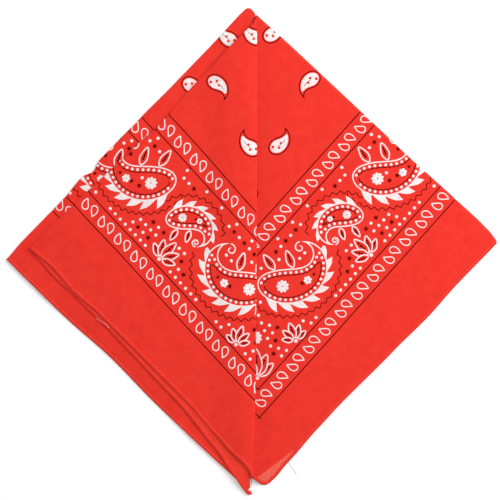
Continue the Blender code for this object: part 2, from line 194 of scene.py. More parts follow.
def line_of(points, closed=False, spacing=1.3):
    """A smooth line through the points, with a vertex about every spacing mm."""
    given = [Vector(point) for point in points]
    count = len(given)
    spans = count if closed else count - 1
    made = []
    for index in range(spans):
        if closed:
            a, b, c, d = (given[(index + step) % count] for step in (-1, 0, 1, 2))
        else:
            b, c = given[index], given[index + 1]
            a = given[index - 1] if index else b * 2 - c
            d = given[index + 2] if index + 2 < count else c * 2 - b
        pieces = max(1, round((c - b).length / spacing))
        for piece in range(pieces):
            u = piece / pieces
            squared, cubed = a * 2 - b * 5 + c * 4 - d, b * 3 - a - c * 3 + d
            made.append((b * 2 + (c - a) * u + squared * u * u + cubed * u**3) / 2)
    return made if closed else made + [given[-1]]


def normals_of(line, closed=False):
    """The unit normal on the left of the line at each of its points."""
    count = len(line)
    found = []
    for index in range(count):
        before = line[(index - 1) % count] if closed or index else line[index]
        after = line[(index + 1) % count] if closed or index + 1 < count else line[index]
        run = (after - before).normalized()
        found.append(Vector((-run.y, run.x)))
    return found


def beside(line, distance, closed=False):
    """The line moved to its left by this distance."""
    return [point + side * distance for point, side in zip(line, normals_of(line, closed))]


def forward(line, moved):
    """The moved points that still run the same way as their line. The others fold back in tight bends."""
    kept = [moved[0]]
    for index in range(1, len(line)):
        run = line[index] - line[index - 1]
        if (moved[index] - kept[-1]).dot(run) > 0.1 * run.length_squared:
            kept.append(moved[index])
    return kept


def stroke(ink, line, width, taper=(1.0, 1.0)):
    """A drawn line as one closed shape. Taper is the share of the width left at each end."""
    last = len(line) - 1
    left, right = [], []
    for index, (point, side) in enumerate(zip(line, normals_of(line))):
        share = index / last
        half = width / 2
        half *= taper[0] + (1 - taper[0]) * eased(share / 0.35)
        half *= taper[1] + (1 - taper[1]) * eased((1 - share) / 0.35)
        half = max(half, 0.12)
        left.append(point + side * half)
        right.append(point - side * half)
    ahead = (line[-1] - line[-2]).normalized() * width * 0.4 * taper[1]
    behind = (line[0] - line[1]).normalized() * width * 0.4 * taper[0]
    ends = ([line[-1] + ahead] if taper[1] > 0.5 else [], [line[0] + behind] if taper[0] > 0.5 else [])
    return [(ink, forward(line, right) + ends[0] + forward(line, left)[::-1] + ends[1])]


def loop(ink, points, width, spacing=1.3):
    """A drawn outline: a closed shape with the bare cloth showing inside it."""
    line = line_of(points, closed=True, spacing=spacing)
    outer = beside(line, width / 2, closed=True)
    inner = beside(line, -width / 2, closed=True)
    if abs(area_of(outer)) < abs(area_of(inner)):
        outer, inner = inner, outer
    return [(ink, outer), (BARE, inner)]


def area_of(points):
    """Signed area of a polygon, positive if it runs anticlockwise."""
    turned = points[1:] + points[:1]
    return sum(a[0] * b[1] - a[1] * b[0] for a, b in zip(points, turned)) / 2


# %% Dots, waves, flowers and leaves
LINE = 1.0  # width of a white outline
FINE = 0.8  # width of a black line


def dot(ink, centre, radius, sides=9):
    """A filled round dot."""
    x, y = centre
    turns = [math.tau * index / sides for index in range(sides)]
    return [(ink, [Vector((x + radius * math.cos(a), y + radius * math.sin(a))) for a in turns])]


def wavy(line, height=0.35, length=3.0):
    """A black line with a small even wobble, as the cutter's hand left it."""
    walked, bent = 0.0, []
    for index, (point, side) in enumerate(zip(line, normals_of(line))):
        if index:
            walked += (point - line[index - 1]).length
        bent.append(point + side * height * math.sin(math.tau * walked / length))
    return stroke(BLACK, bent, FINE)


def zigzag(points):
    """A black line of sharp teeth from point to point, each side of a tooth its own short stroke."""
    teeth = [Vector(point) for point in points]
    made = []
    for before, after in zip(teeth, teeth[1:]):
        made += stroke(BLACK, [before, before.lerp(after, 0.5), after], FINE * 0.9)
    return made


def flower(centre, radius, petals, turn=0.0):
    """A white flower with notched petals and a dark eye."""
    rim = []
    for index in range(petals * 8):
        angle = math.tau * index / (petals * 8)
        reach = radius * (0.68 + 0.32 * abs(math.sin(petals * angle / 2)) ** 0.55)
        angle += math.radians(turn)
        rim.append(Vector((centre[0] + reach * math.cos(angle), centre[1] + reach * math.sin(angle))))
    return [(WHITE, rim)] + dot(BLACK, centre, 0.5, 6)


def sprig(points, ribs, reach=1.6):
    """A black stem with short slanting ribs on both sides."""
    stem = line_of(points, spacing=0.5)
    sides = normals_of(stem)
    made = stroke(BLACK, stem, 0.95, (0.2, 0.2))
    for index in range(ribs):
        at = round((0.18 + 0.64 * index / max(1, ribs - 1)) * (len(stem) - 1))
        foot, side = stem[at], sides[at]
        ahead = Vector((side.y, -side.x))
        for tip in (foot + side * reach + ahead * 0.9, foot - side * reach * 0.8 + ahead * 0.7):
            made += stroke(BLACK, [foot, foot.lerp(tip, 0.5), tip], 0.8, (1.0, 0.2))
    return made


def star(centre, radius, turn=0.0, ink=BLACK, points=6):
    """A small spiky star."""
    rim = []
    for index in range(points * 2):
        reach = radius if index % 2 == 0 else radius * 0.42
        angle = math.pi * index / points + math.radians(turn)
        rim.append(Vector((centre[0] + reach * math.cos(angle), centre[1] + reach * math.sin(angle))))
    return [(ink, rim)]


# %% [markdown]
# ## The border's figures
# A bandana's border is filled with paisleys, each a drop with a bent, curling tail. One
# function draws a paisley of any size from three measures: the length of its spine, its
# width, and how far its tail bends. The spine bends more and more towards the tip, and
# the width swells into a round head. The dots, the wavy line, the flames, the teeth and
# the leaves follow that outline by rule, so the border is a new drawing of the old kind.

# %% A paisley's body
HEAD_SHARE = 0.29  # of the spine's length, in the round head


def even_line(points, spacing=1.45):
    """A line through points at an even spacing."""
    made, since = [points[0]], 0.0
    for before, after in zip(points, points[1:]):
        span = (after - before).length
        while since + span >= spacing:
            before = before.lerp(after, (spacing - since) / span)
            span = (after - before).length
            made.append(before)
            since = 0.0
        since += span
    return made


def swelling(share):
    """Half the body's width at a share of its spine: a round head, then a long taper."""
    if share < HEAD_SHARE:
        return math.sqrt(1 - (1 - share / HEAD_SHARE) ** 2)
    return (0.5 + 0.5 * math.cos(math.pi * (share - HEAD_SHARE) / (1 - HEAD_SHARE))) ** 0.8


def body_of(length, width, bend):
    """A paisley's spine, its two sides from head to tip, and half its width along them."""
    shares = [HEAD_SHARE * (1 - math.cos(math.radians(turn))) for turn in range(0, 90, 10)]
    shares += [HEAD_SHARE + (1 - HEAD_SHARE) * step / 36 for step in range(37)]
    spine, spot, before = [], Vector((0.0, 0.0)), 0.0
    for share in shares:
        angle = math.radians(bend) * ((share + before) / 2) ** 2
        spot = spot + Vector((math.cos(angle), math.sin(angle))) * length * (share - before)
        spine.append(spot)
        before = share
    halves = [width * swelling(share) for share in shares]
    sides = normals_of(spine)
    left = [point + side * half for point, side, half in zip(spine, sides, halves)]
    right = [point - side * half for point, side, half in zip(spine, sides, halves)]
    return spine, left, right, halves


def rim(body, inset):
    """The body's outline moved in, without the end of the tail where there is no room for it."""
    _spine, left, right, halves = body
    outline = left + right[-2:0:-1]
    widths = halves + halves[-2:0:-1]
    head = sum(1 for half in halves if half < max(halves)) // 4
    moved = beside(outline, -inset, closed=True)
    count = len(outline)
    return [
        spot
        for index, (spot, half) in enumerate(zip(moved, widths))
        if half > inset * 1.15 or min(index, count - index) < head
    ]


# %% Flames, teeth, leaves and curls
def blade(top, bottom, ink=WHITE):
    """A solid shape between two smooth edges: out along the top and back along the bottom."""
    return [(ink, line_of(top)[:-1] + line_of(bottom))]


def flames(back, count, reach):
    """Solid white flames that stand on a paisley's back and lean towards its tip."""
    made = []
    line = even_line(back, 1.0)
    sides = normals_of(line)
    step = (len(line) - 8) / count
    for index in range(count):
        first, last = round(4 + step * index), round(4 + step * (index + 0.92))
        foot, heel, out = line[first], line[last], -sides[(first + last) // 2]
        lean = Vector((out.y, -out.x))
        lean *= 1 if (heel - foot).dot(lean) > 0 else -1
        size = reach * (1 - 0.45 * index / count)
        tip = heel + out * size + lean * size * 0.55
        belly, hollow = foot.lerp(tip, 0.5) + out * size * 0.28, heel.lerp(tip, 0.45) + out * 0.2
        made += blade([foot, belly, tip], [tip, hollow, heel])
    return made


def teeth(back, near, far):
    """A black zigzag that runs round outside the flames."""
    line = even_line(back, 2.3)[2:-4]
    steps = enumerate(zip(line, normals_of(line)))
    return zigzag([spot - side * (far if index % 2 else near) for index, (spot, side) in steps])


def leaf(base, tip, width, ribs=4):
    """A white-outlined leaf with a black vein."""
    base, tip = Vector(base), Vector(tip)
    run = (tip - base).normalized()
    side = Vector((-run.y, run.x)) * width / 2
    low, high = base.lerp(tip, 0.3), base.lerp(tip, 0.68)
    made = loop(WHITE, [base, low + side, high + side * 0.8, tip, high - side * 0.8, low - side], LINE)
    return made + sprig([base.lerp(tip, 0.2), base.lerp(tip, 0.5), base.lerp(tip, 0.8)], ribs, width * 0.2)


def curl(start, heading, radius, steps=17):
    """A white line that winds in on itself, at the end of a tail."""
    made = [start]
    for index in range(steps):
        heading += 1 / (radius * (1 - 0.7 * index / steps))
        made.append(made[-1] + Vector((math.cos(heading), math.sin(heading))))
    return stroke(WHITE, made, LINE, (1.0, 0.7))


def fan(base, heading, reach, spread=32, leaves=5):
    """Leaves that open from one point, the middle one longest."""
    made = []
    for index in range(leaves):
        away = index - (leaves - 1) / 2
        angle = math.radians(heading + spread * away)
        size = reach * (1 - 0.13 * abs(away))
        way = Vector((math.cos(angle), math.sin(angle)))
        made += leaf(Vector(base) + way * 2.5, Vector(base) + way * size, size * 0.36, 3)
    return made + dot(WHITE, base, 1.5)


# %% A whole paisley
DOTS_IN, WAVE_IN = 3.1, 5.0  # how far inside the outline its dots and its wavy line run


def paisley(length, width, bend, flame_count):
    """A paisley with all its parts, teeth first and then the rest, and how many shapes the teeth are."""
    body = body_of(length, width, bend)
    spine, left, right, halves = body
    reach = width * 0.5
    made = teeth(right[2:-8], reach + 2.0, reach + 4.6)
    tooth_count = len(made)
    made += [(BARE, rim(body, -2.2))] + flames(right[4:-8], flame_count, reach)
    made += [(WHITE, rim(body, 0.0)), (BARE, rim(body, LINE))]
    made += curl(spine[-1], math.radians(bend), width * 0.34)
    dotted = rim(body, DOTS_IN)
    for spot in even_line([*dotted, dotted[0]], 4.3)[:-1]:
        made += dot(WHITE, spot, 1.15)
    made += wavy(line_of(rim(body, WAVE_IN), closed=True, spacing=0.6)[:-3], 0.3, 3.4)
    widest = halves.index(max(halves))
    made += flower(spine[widest - 1], width * 0.36, 9, 12)
    for ahead, size in ((7, 0.17), (10, 0.24), (14, 0.13)):
        spot = spine[widest + ahead]
        made += star(spot, width * size, 15) if ahead != 10 else flower(spot, width * size, 6)
    for at, lean in ((widest - 3, 0.5), (widest + 5, 0.3)):
        run = (left[at + 1] - left[at]).normalized()
        way = (Vector((-run.y, run.x)) - run * lean).normalized()
        made += leaf(left[at] + way * 0.8, left[at] + way * width * 1.1, width * 0.42)
    return centred(made), tooth_count


def centred(shapes):
    """The shapes moved so that the middle of their box is the origin."""
    xs = [point.x for _ink, points in shapes for point in points]
    ys = [point.y for _ink, points in shapes for point in points]
    return placed(shapes, 0.0, (-(min(xs) + max(xs)) / 2, -(min(ys) + max(ys)) / 2))


# %% [markdown]
# ## Lines, drops and the field
# The border's arms run at about 48 degrees on the right half. Four black lines part
# each arm from the margin and the field, and two rows of white drops lie between the
# lines, turned head to tail. On the other half the drops stand upright, where
# everything else is mirrored.

# %% The whole quarter's print
ARM_ANGLE, AXIS_ANGLE = math.radians(48.1), math.radians(93.1)
ALONG = Vector((math.cos(ARM_ANGLE), math.sin(ARM_ANGLE)))
ACROSS = Vector((-ALONG.y, ALONG.x))
AXIS = Vector((math.cos(AXIS_ANGLE), math.sin(AXIS_ANGLE)))
LINES_ACROSS = (0.0, 15.5, 86.5, 101.7)
DROP_PITCH = 9.47
ROWS = (  # where a row starts along its arm, then how far across and how turned its two kinds of drop are
    (8.6, ((7.1, 180), (8.7, 0))),
    (98.4, ((94.4, 0), (92.7, 180))),
)
ARM_LENGTH = 300.0


def reflected(shapes):
    """The same shapes on the corner's other arm."""
    return [(ink, [AXIS * (2 * point.dot(AXIS)) - point for point in points]) for ink, points in shapes]


def mirrored(shapes):
    """The same shapes, left to right."""
    return [(ink, [Vector((-point.x, point.y)) for point in points]) for ink, points in shapes]


def placed(shapes, degrees=0.0, by=(0.0, 0.0)):
    """The shapes turned about the origin and then moved."""
    c, s = math.cos(math.radians(degrees)), math.sin(math.radians(degrees))
    made = []
    for ink, points in shapes:
        made.append((ink, [Vector((c * p.x - s * p.y, s * p.x + c * p.y)) + Vector(by) for p in points]))
    return made


def drop(centre, degrees):
    """One outlined drop: a flat side that ends in a point, and a rounded back."""
    back = [(-2.3, -2.5), (-4, -1.5), (-4.4, 0.2), (-3.3, 2.0), (-1.1, 2.55)]
    line = line_of([(4.2, -2.2), (1.1, -2.4), *back, (1.5, 1.5), (3.2, -0.4), (4.2, -2.2)], spacing=1.1)
    ring = [(WHITE, beside(line, 0.43)), (BARE, beside(line, -0.43)[1:-1])]
    return placed(ring, degrees, centre)


def border_lines():
    """The four black lines of one arm."""
    made = []
    for away in LINES_ACROSS:
        start = Vector((0.0, away / ACROSS.y)) - ALONG * (1.4 + 0.05 * away)
        count = round(ARM_LENGTH / 2.5)
        line = [start + ALONG * (ARM_LENGTH * index / count) for index in range(count + 1)]
        made += stroke(BLACK, line, 0.85)
    return made


def drop_rows():
    """Both rows of drops, lying on the right arm and upright on the left."""
    right, left = [], []
    for first, kinds in ROWS:
        for index in range(26):
            along = ALONG * (first + DROP_PITCH * index)
            (away, turn), (other_away, _other) = kinds[index % 2], kinds[1 - index % 2]
            right += drop(along + ACROSS * away, turn)
            spot = along + ACROSS * other_away
            left += drop((-spot.x, spot.y), turn + 90)
    return right, left


def field_paisley(centre, degrees):
    """A single small paisley: black outline, bare gap, white body, and a stem with berries."""
    body = body_of(27.0, 6.6, 120)
    spine = body[0]
    made = [(BLACK, rim(body, 0.0)), (BARE, rim(body, FINE)), (WHITE, rim(body, 1.7))]
    for at, away, radius in ((6, 1.2, 1.3), (10, -1.5, 1.2), (15, 0.9, 1.0)):
        made += dot(BARE, spine[at] + Vector((0.0, away)), radius, 7)
    made += stroke(BLACK, spine[9:26], 0.45, (0.5, 0.5))
    return placed(centred(made), degrees, centre)


BIG, SMALL = (84.0, 13.8, 205, 8), (56.0, 9.6, 205, 6)  # length, width, bend and flames
MIDDLE = (LINES_ACROSS[1] + LINES_ACROSS[2]) / 2
FIELD_STEP, FIELD_ROW = 54.0, 44.0  # between the field's paisleys, along a row and from row to row
FILL_STEP = 5.8  # between the places where a small figure is tried
DOT_ROOM, STAR_ROOM, FLOWER_ROOM = 2.9, 4.3, 6.2  # the clear space that each needs round its middle


def in_border(shapes, along, across, turn):
    """Shapes put in the border, by how far along the arm and how far across it."""
    return placed(shapes, math.degrees(ARM_ANGLE) + turn, ALONG * along + ACROSS * across)


def border_figures():
    """The paisleys of one arm, large and small by turns, with leaves and flowers between."""
    made, over = [], []
    for along, across, turn, kind in (  # the large ones with their backs to the margin
        (101, MIDDLE - 1, -62, BIG),
        (157, MIDDLE + 9, 118, SMALL),
        (214, MIDDLE, -62, BIG),
        (270, MIDDLE + 9, 118, SMALL),
    ):
        shapes, tooth_count = paisley(*kind)
        laid = in_border(shapes, along, across, turn)
        made += laid[:tooth_count]
        over += laid[tooth_count:]
    made += over
    for along, across, turn, reach in ((154, 20, 90, 18), (64, 19, 62, 15), (264, 20, 90, 18)):
        made += in_border(fan((0, 0), turn, reach), along, across, 0)
    return [shape for shape in made if on_own_side(shape[1])]


def on_own_side(points):
    """Whether a figure's middle is on its own arm's side of the corner's axis."""
    middle = sum(points, Vector((0.0, 0.0))) / len(points)
    return middle.x * AXIS.y - middle.y * AXIS.x > 1.0


def small_figures(shapes):
    """Flowers, stars and dots wherever the border still has room for one."""
    taken = [(point.x, point.y) for _ink, points in shapes for point in points]
    made = []
    for row in range(12):
        across = LINES_ACROSS[1] + 4.0 + FILL_STEP * row
        for column in range(44):
            along = across + 5.0 + FILL_STEP * (column + 0.5 * (row % 2))
            spot = ALONG * along + ACROSS * across
            room = min(math.hypot(spot.x - x, spot.y - y) for x, y in taken)
            if room < DOT_ROOM or along > ARM_LENGTH - 10:
                continue
            if room > FLOWER_ROOM:
                new = flower(spot, 4.4, 8, 10 * column)
            elif room > STAR_ROOM:
                new = star(spot, 2.5, 15 * column)
            else:
                new = dot(WHITE, spot, 1.25)
            made += new
            taken += [(point.x, point.y) for point in new[0][1]]
    return made


def corner_figures():
    """A fan of leaves and a flower on the corner's axis."""
    made = fan(AXIS * 31, math.degrees(AXIS_ANGLE), 23, 25)
    return made + flower(AXIS * 63, 5.4, 10) + star(AXIS * 72, 2.4)


def field_figures():
    """Small paisleys in staggered rows over the field, every other row turned round."""
    made = []
    side = Vector((AXIS.y, -AXIS.x))
    for row in range(4):
        for column in range(row + 1):
            spot = AXIS * (172 + FIELD_ROW * row) + side * FIELD_STEP * (column - row / 2)
            made += field_paisley(spot, 20 if row % 2 else 200)
    return made


WHOLE = field_figures() + corner_figures()
figures = border_lines() + border_figures()
ARM = figures + small_figures(figures + corner_figures())
right_drops, left_drops = drop_rows()
RIGHT_PRINT = reflected(ARM) + ARM + WHOLE + right_drops
LEFT_PRINT = mirrored(ARM) + mirrored(WHOLE) + left_drops
print("the print has", len(RIGHT_PRINT) + len(LEFT_PRINT), "shapes")

# %% [markdown]
# ## A printed sheet
# A sheet starts flat. Its outline, its ink shapes and a fine grid of points go into one
# triangulation that keeps every ink edge, so that each triangle is wholly bare, white
# or black. A function then lays each flat point in its place in the stack, with its
# rolled edges and soft creases, and Solidify gives the cloth its thickness. The back
# gets materials of its own, because a print hardly shows on the wrong side. The flat
# shape is kept as the UV map, with the back beside the front.

# %% Flat printed sheets
GRID = 2.6


def inside(outline, point):
    """Whether a point is inside a polygon."""
    hit = False
    x, y = point
    for (ax, ay), (bx, by) in zip(outline, outline[1:] + outline[:1]):
        if (ay > y) != (by > y) and x < (bx - ax) * (y - ay) / (by - ay) + ax:
            hit = not hit
    return hit


def within(outline, points):
    """The points that lie inside an outline."""
    corners = [tuple(corner) for corner in outline]
    return [point for point in points if inside(corners, point)]


def grid_points(outline, spacing):
    """A staggered grid inside a polygon."""
    low = Vector((min(p[0] for p in outline), min(p[1] for p in outline)))
    high = Vector((max(p[0] for p in outline), max(p[1] for p in outline)))
    found, row = [], 0
    y = low.y + spacing / 2
    while y < high.y:
        x = low.x + spacing * (0.5 + 0.5 * (row % 2))
        while x < high.x:
            if inside(outline, (x, y)):
                found.append(Vector((x, y)))
            x += spacing
        y += spacing * 0.87
        row += 1
    return found


def near(shape, low, high):
    """Whether an ink shape reaches into a box."""
    xs, ys = [p.x for p in shape[1]], [p.y for p in shape[1]]
    return min(xs) < high.x and max(xs) > low.x and min(ys) < high.y and max(ys) > low.y


def triangulate(outline, shapes, extra):
    """Points, triangles and the ink of each triangle, for a flat printed sheet."""
    low = Vector((min(p[0] for p in outline), min(p[1] for p in outline)))
    high = Vector((max(p[0] for p in outline), max(p[1] for p in outline)))
    used = [shape for shape in shapes if near(shape, low, high)]
    verts = [Vector(point) for point in outline]
    faces = [list(range(len(verts)))]
    for _ink, points in used:
        if area_of(points) < 0:
            points = points[::-1]
        faces.append(list(range(len(verts), len(verts) + len(points))))
        verts += points
    verts += extra
    points, _edges, triangles, _v, _e, origins = delaunay_2d_cdt(verts, [], faces, 1, 0.005)
    kept, inks = [], []
    for triangle, origin in zip(triangles, origins):
        if 0 in origin:
            kept.append(triangle)
            top = max(origin)
            inks.append(used[top - 1][0] if top else BARE)
    return points, kept, inks


def printed_sheet(name, outline, shapes, lay, extra=(), rounded=None, spacing=GRID):
    """A thin printed sheet. lay takes a flat point to its place, and extra has the rounded parts' points."""
    points = [point for point in grid_points(outline, spacing) if not (rounded and rounded(point))]
    points += list(extra)
    flat, triangles, inks = triangulate(outline, shapes, points)
    shape = bmesh.new()
    uv = shape.loops.layers.uv.new("OFBake")
    verts = [shape.verts.new(lay(point) * MM) for point in flat]
    low = Vector((min(p[0] for p in outline), min(p[1] for p in outline)))
    size = max(max(p[0] for p in outline) - low.x, max(p[1] for p in outline) - low.y)
    for triangle, ink in zip(triangles, inks):
        face = shape.faces.new([verts[index] for index in triangle])
        face.material_index = ink
        face.smooth = True
        for index, corner in zip(triangle, face.loops):
            corner[uv].uv = ((flat[index] - low) / size) * 0.49 + Vector((0.005, 0.005))
    bmesh.ops.delete(shape, geom=[v for v in shape.verts if not v.link_faces], context="VERTS")
    mesh = bpy.data.meshes.new(name)
    shape.to_mesh(mesh)
    shape.free()
    piece = bpy.data.objects.new(name, mesh)
    scene.collection.objects.link(piece)
    for material in cloth_finishes:
        mesh.materials.append(material)
    wall = piece.modifiers.new("cloth thickness", "SOLIDIFY")
    wall.thickness = CLOTH * MM
    wall.offset = -1
    wall.material_offset = 3
    wall.use_even_offset = False
    piece = applied(piece)
    back_uvs(piece, len(triangles))
    print(f"{name}: {len(piece.data.polygons)} faces, {len(piece.data.vertices)} points")
    return piece


def applied(piece):
    """The piece with its modifiers made plain."""
    graph = bpy.context.evaluated_depsgraph_get()
    mesh = bpy.data.meshes.new_from_object(piece.evaluated_get(graph))
    old = piece.data
    piece.modifiers.clear()
    piece.data = mesh
    mesh.name = piece.name
    bpy.data.meshes.remove(old)
    return piece


def back_uvs(piece, fronts):
    """Moves the back's part of the map beside the front's, so that neither covers the other."""
    uvs = piece.data.uv_layers["OFBake"].uv
    for face in piece.data.polygons:
        if face.index >= fronts:
            for corner in face.loop_indices:
                uvs[corner].vector = uvs[corner].vector + Vector((0.5, 0.5))


# %% [markdown]
# ## Rolled edges
# A folded edge is a profile: the line that the cloth's outer face follows in a cut
# square to the edge. It leaves flat, rounds the edge and comes back underneath. The
# flat sheet goes on past the edge, and each point there is carried round the profile
# by its distance, so that the print bends round the edge with the cloth.

# %% Profiles
def rolled_profile(run, top, drop_to, under, tail):
    """Points (out, down) of a fold that starts to round at run from its edge, and is under round below."""
    turns = [math.radians(angle) for angle in range(0, 91, 9)]
    upper = [(run * (math.sin(a) - 1), top * (1 - math.cos(a))) for a in turns]
    lower = [(under * (math.cos(a) - 1), top + (drop_to - top) * math.sin(a)) for a in turns[1:]]
    return [Vector(p) for p in upper + lower] + [Vector((-under - tail, drop_to))]


def length_of(profile):
    """The length of cloth in a profile."""
    return sum((after - before).length for before, after in zip(profile, profile[1:]))


def carried(profile, distance):
    """The point (out, down) at this distance along a profile. Before its start the cloth is flat."""
    if distance <= 0:
        return profile[0] + Vector((distance, 0.0))
    for before, after in zip(profile, profile[1:]):
        step = (after - before).length
        if distance <= step:
            return before.lerp(after, distance / step)
        distance -= step
    return profile[-1]


# %% [markdown]
# ## Softness
# No cloth lies quite flat. Slow noise gives each layer a gentle, uneven swell, and a
# few creases are given one by one, each a soft trough or ridge with its own length, width
# and height, where the layers beneath end or where an old fold has left its mark.

# %% Creases and swells
def crease(start, end, width, height):
    """A soft ridge (or trough, if height is below 0) as a function of a point."""
    start, end = Vector(start), Vector(end)
    run = end - start
    side = Vector((-run.y, run.x)).normalized()

    def rise(point):
        share = (point - start).dot(run) / run.length_squared
        if not -0.25 < share < 1.25:
            return 0.0
        fade = eased((share + 0.25) / 0.35) * eased((1.25 - share) / 0.35)
        across = (point - start).dot(side) / width
        if abs(across) > 3:
            return 0.0
        return height * fade * math.exp(-across * across)

    return rise


def swell(point, seed, height=0.22, size=42.0):
    """Slow, uneven noise."""
    spot = Vector((point.x / size, point.y / size, seed))
    small = Vector((point.x / 11.0, point.y / 11.0, seed + 5))
    return height * noise.noise(spot) + 0.035 * noise.noise(small)


def raised(creases, point):
    """The sum of a layer's creases at a point."""
    return sum(rise(point) for rise in creases)


# %% [markdown]
# ## Finishes
# Cotton, dyed in the piece: a matt, soft red with a fine plain weave, slightly mottled
# because the dye and the thread are uneven. The white is pigment print, which sits on
# the weave and lets a little red through. The black is dye print, darker and sunk into
# the cloth, so over red it reads as deep maroon. The weave's threads are about 0.35 mm
# apart, too fine for a render of the whole cloth, so the weave is drawn at 0.7 mm.

# %% Material helper
def linear(code):
    """A linear colour from an sRGB hex code."""
    made = []
    for index in (1, 3, 5):
        part = int(code[index : index + 2], 16) / 255
        made.append(part / 12.92 if part <= 0.04045 else ((part + 0.055) / 1.055) ** 2.4)
    return (*made, 1.0)


def add(tree, kind, settings=(), **links):
    """Adds one node, sets its settings by name and links or sets its inputs."""
    node = tree.nodes.new(kind)
    for key, value in dict(settings).items():
        setattr(node, key, value)
    for key, value in links.items():
        numbered = key[0] == "n" and key[1:].isdigit()
        socket = node.inputs[int(key[1:]) if numbered else key.replace("_", " ")]
        if isinstance(value, bpy.types.NodeSocket):
            tree.links.new(value, socket)
        else:
            socket.default_value = value
    return node


WEAVE = 0.7 * MM  # drawn twice as coarse as the real thread spacing, so that it shows
MOTTLE = 7.0 * MM
SPECK = 1.6 * MM


def cotton(name, colour, deep, roughness=0.86, sheen=0.25, weave=0.00003, shine=0.2, paint_floor_light=False):
    """Woven cotton: two crossed sets of threads as bump, and an uneven colour, with painted floor light past
    the stack's edge when asked for.
    """
    material = bpy.data.materials.new(name)
    material.use_nodes = True
    tree = material.node_tree
    tree.nodes.clear()
    place = add(tree, "ShaderNodeTexCoord").outputs["Object"]
    mottle = add(tree, "ShaderNodeTexNoise", Vector=place, Scale=1 / MOTTLE, Detail=3.0, Roughness=0.6)
    speck = add(tree, "ShaderNodeTexNoise", Vector=place, Scale=1 / SPECK, Detail=2.0, Roughness=0.5)
    half_of = {"operation": "MULTIPLY_ADD"}
    both = add(tree, "ShaderNodeMath", half_of, n0=speck.outputs[0], n1=0.5, n2=mottle.outputs[0])
    spread = add(tree, "ShaderNodeMapRange", Value=both.outputs[0], From_Min=0.5, From_Max=1.0)
    tint = add(tree, "ShaderNodeMix", {"data_type": "RGBA"}, Factor=spread.outputs[0])
    tint.inputs[6].default_value = linear(deep)
    tint.inputs[7].default_value = linear(colour)
    shown = tint.outputs[2]
    # painted floor light: past the stack's edge the colour is painted paler, for the floor's light through
    # the cloth
    if paint_floor_light:
        shown = painted_floor_light(tree, place, speck.outputs[0], shown)
    slant = add(tree, "ShaderNodeMapping", Vector=place)
    slant.inputs["Rotation"].default_value = (0.0, 0.0, math.radians(48))
    threads = {"Vector": slant.outputs[0], "Scale": 1 / (WEAVE * 6.28), "Distortion": 0.6}
    warp = add(tree, "ShaderNodeTexWave", {"bands_direction": "X"}, **threads)
    weft = add(tree, "ShaderNodeTexWave", {"bands_direction": "Y"}, **threads)
    cloth = add(tree, "ShaderNodeMath", {"operation": "ADD"}, n0=warp.outputs["Fac"], n1=weft.outputs["Fac"])
    bump = add(tree, "ShaderNodeBump", Strength=0.5, Distance=weave, Height=cloth.outputs[0])
    surface = {"Base_Color": shown, "Roughness": roughness, "Normal": bump.outputs[0]}
    shader = add(tree, "ShaderNodeBsdfPrincipled", **surface)
    shader.inputs["Sheen Weight"].default_value = sheen
    shader.inputs["Sheen Roughness"].default_value = 0.5
    shader.inputs["Specular IOR Level"].default_value = shine
    add(tree, "ShaderNodeOutputMaterial", Surface=shader.outputs[0])
    return material


def painted_floor_light(tree, place, speck, colour):
    """Painted light: paler cloth past the edge of the stack, where one layer lies on the pale floor and the
    floor's light through it is painted into the colour.
    """
    side = outward(CORNER_SHOULDER)
    start = Vector(CORNER_SHOULDER[0]) * MM
    away = add(tree, "ShaderNodeVectorMath", {"operation": "DOT_PRODUCT"}, n0=place, n1=(side.x, side.y, 0.0))
    added = {"operation": "MULTIPLY_ADD"}
    rough = add(tree, "ShaderNodeMath", added, n0=speck, n1=0.6 * MM, n2=away.outputs["Value"])
    reach = start.dot(side) + 0.3 * MM
    whole = reach + 0.8 * MM
    past_edge = add(tree, "ShaderNodeMapRange", Value=rough.outputs[0], From_Min=reach, From_Max=whole)
    thin = add(tree, "ShaderNodeMapRange", Value=speck, From_Min=0.3, From_Max=0.7, To_Min=0.55, To_Max=1.0)
    times = {"operation": "MULTIPLY"}
    share = add(tree, "ShaderNodeMath", times, n0=past_edge.outputs[0], n1=thin.outputs[0])
    paler = add(tree, "ShaderNodeMix", {"data_type": "RGBA"}, Factor=share.outputs[0])
    tree.links.new(colour, paler.inputs[6])
    # the colour of the painted floor light
    paler.inputs[7].default_value = linear("#EE6656")
    return paler.outputs[2]


# %% The cloth's finishes
RED, RED_DEEP = "#E53125", "#DB281C"
# the dyed cotton's corner past the stack gets painted floor light
dyed_cotton = cotton("dyed plain-weave cotton", RED, RED_DEEP, sheen=0.12, paint_floor_light=True)
white_print = cotton("white pigment print on cotton", "#F3E9E8", "#DCC9C8", roughness=0.8, sheen=0.1)
SUNK = {"roughness": 0.9, "sheen": 0.0, "shine": 0.02}  # ink that has gone into the cloth has no shine
black_print = cotton("black dye print on red cotton", "#660502", "#520402", **SUNK)
cotton_back = cotton("dyed cotton, wrong side", "#E83A28", "#DE2F1F", sheen=0.12)
white_back = cotton("white print from the wrong side", "#E7564C", "#E04A40")
black_back = cotton("black print from the wrong side", "#B32620", "#A51F1A")
cloth_finishes = (dyed_cotton, white_print, black_print, cotton_back, white_back, black_back)
hem_cotton = cotton("turned cotton hem", RED, RED_DEEP, sheen=0.12)
thread = cotton("polyester sewing thread", "#FC6142", "#F45238", roughness=0.6, sheen=0.1, weave=0.00001)
bleached = cotton("undyed loose thread", "#BDB4AF", "#9D948F", roughness=0.6, sheen=0.1, weave=0.00001)
pale_thread = cotton("faded loose thread", "#F6B9AD", "#EA9C8E", roughness=0.6, sheen=0.1, weave=0.00001)
print("finishes:", len(bpy.data.materials))

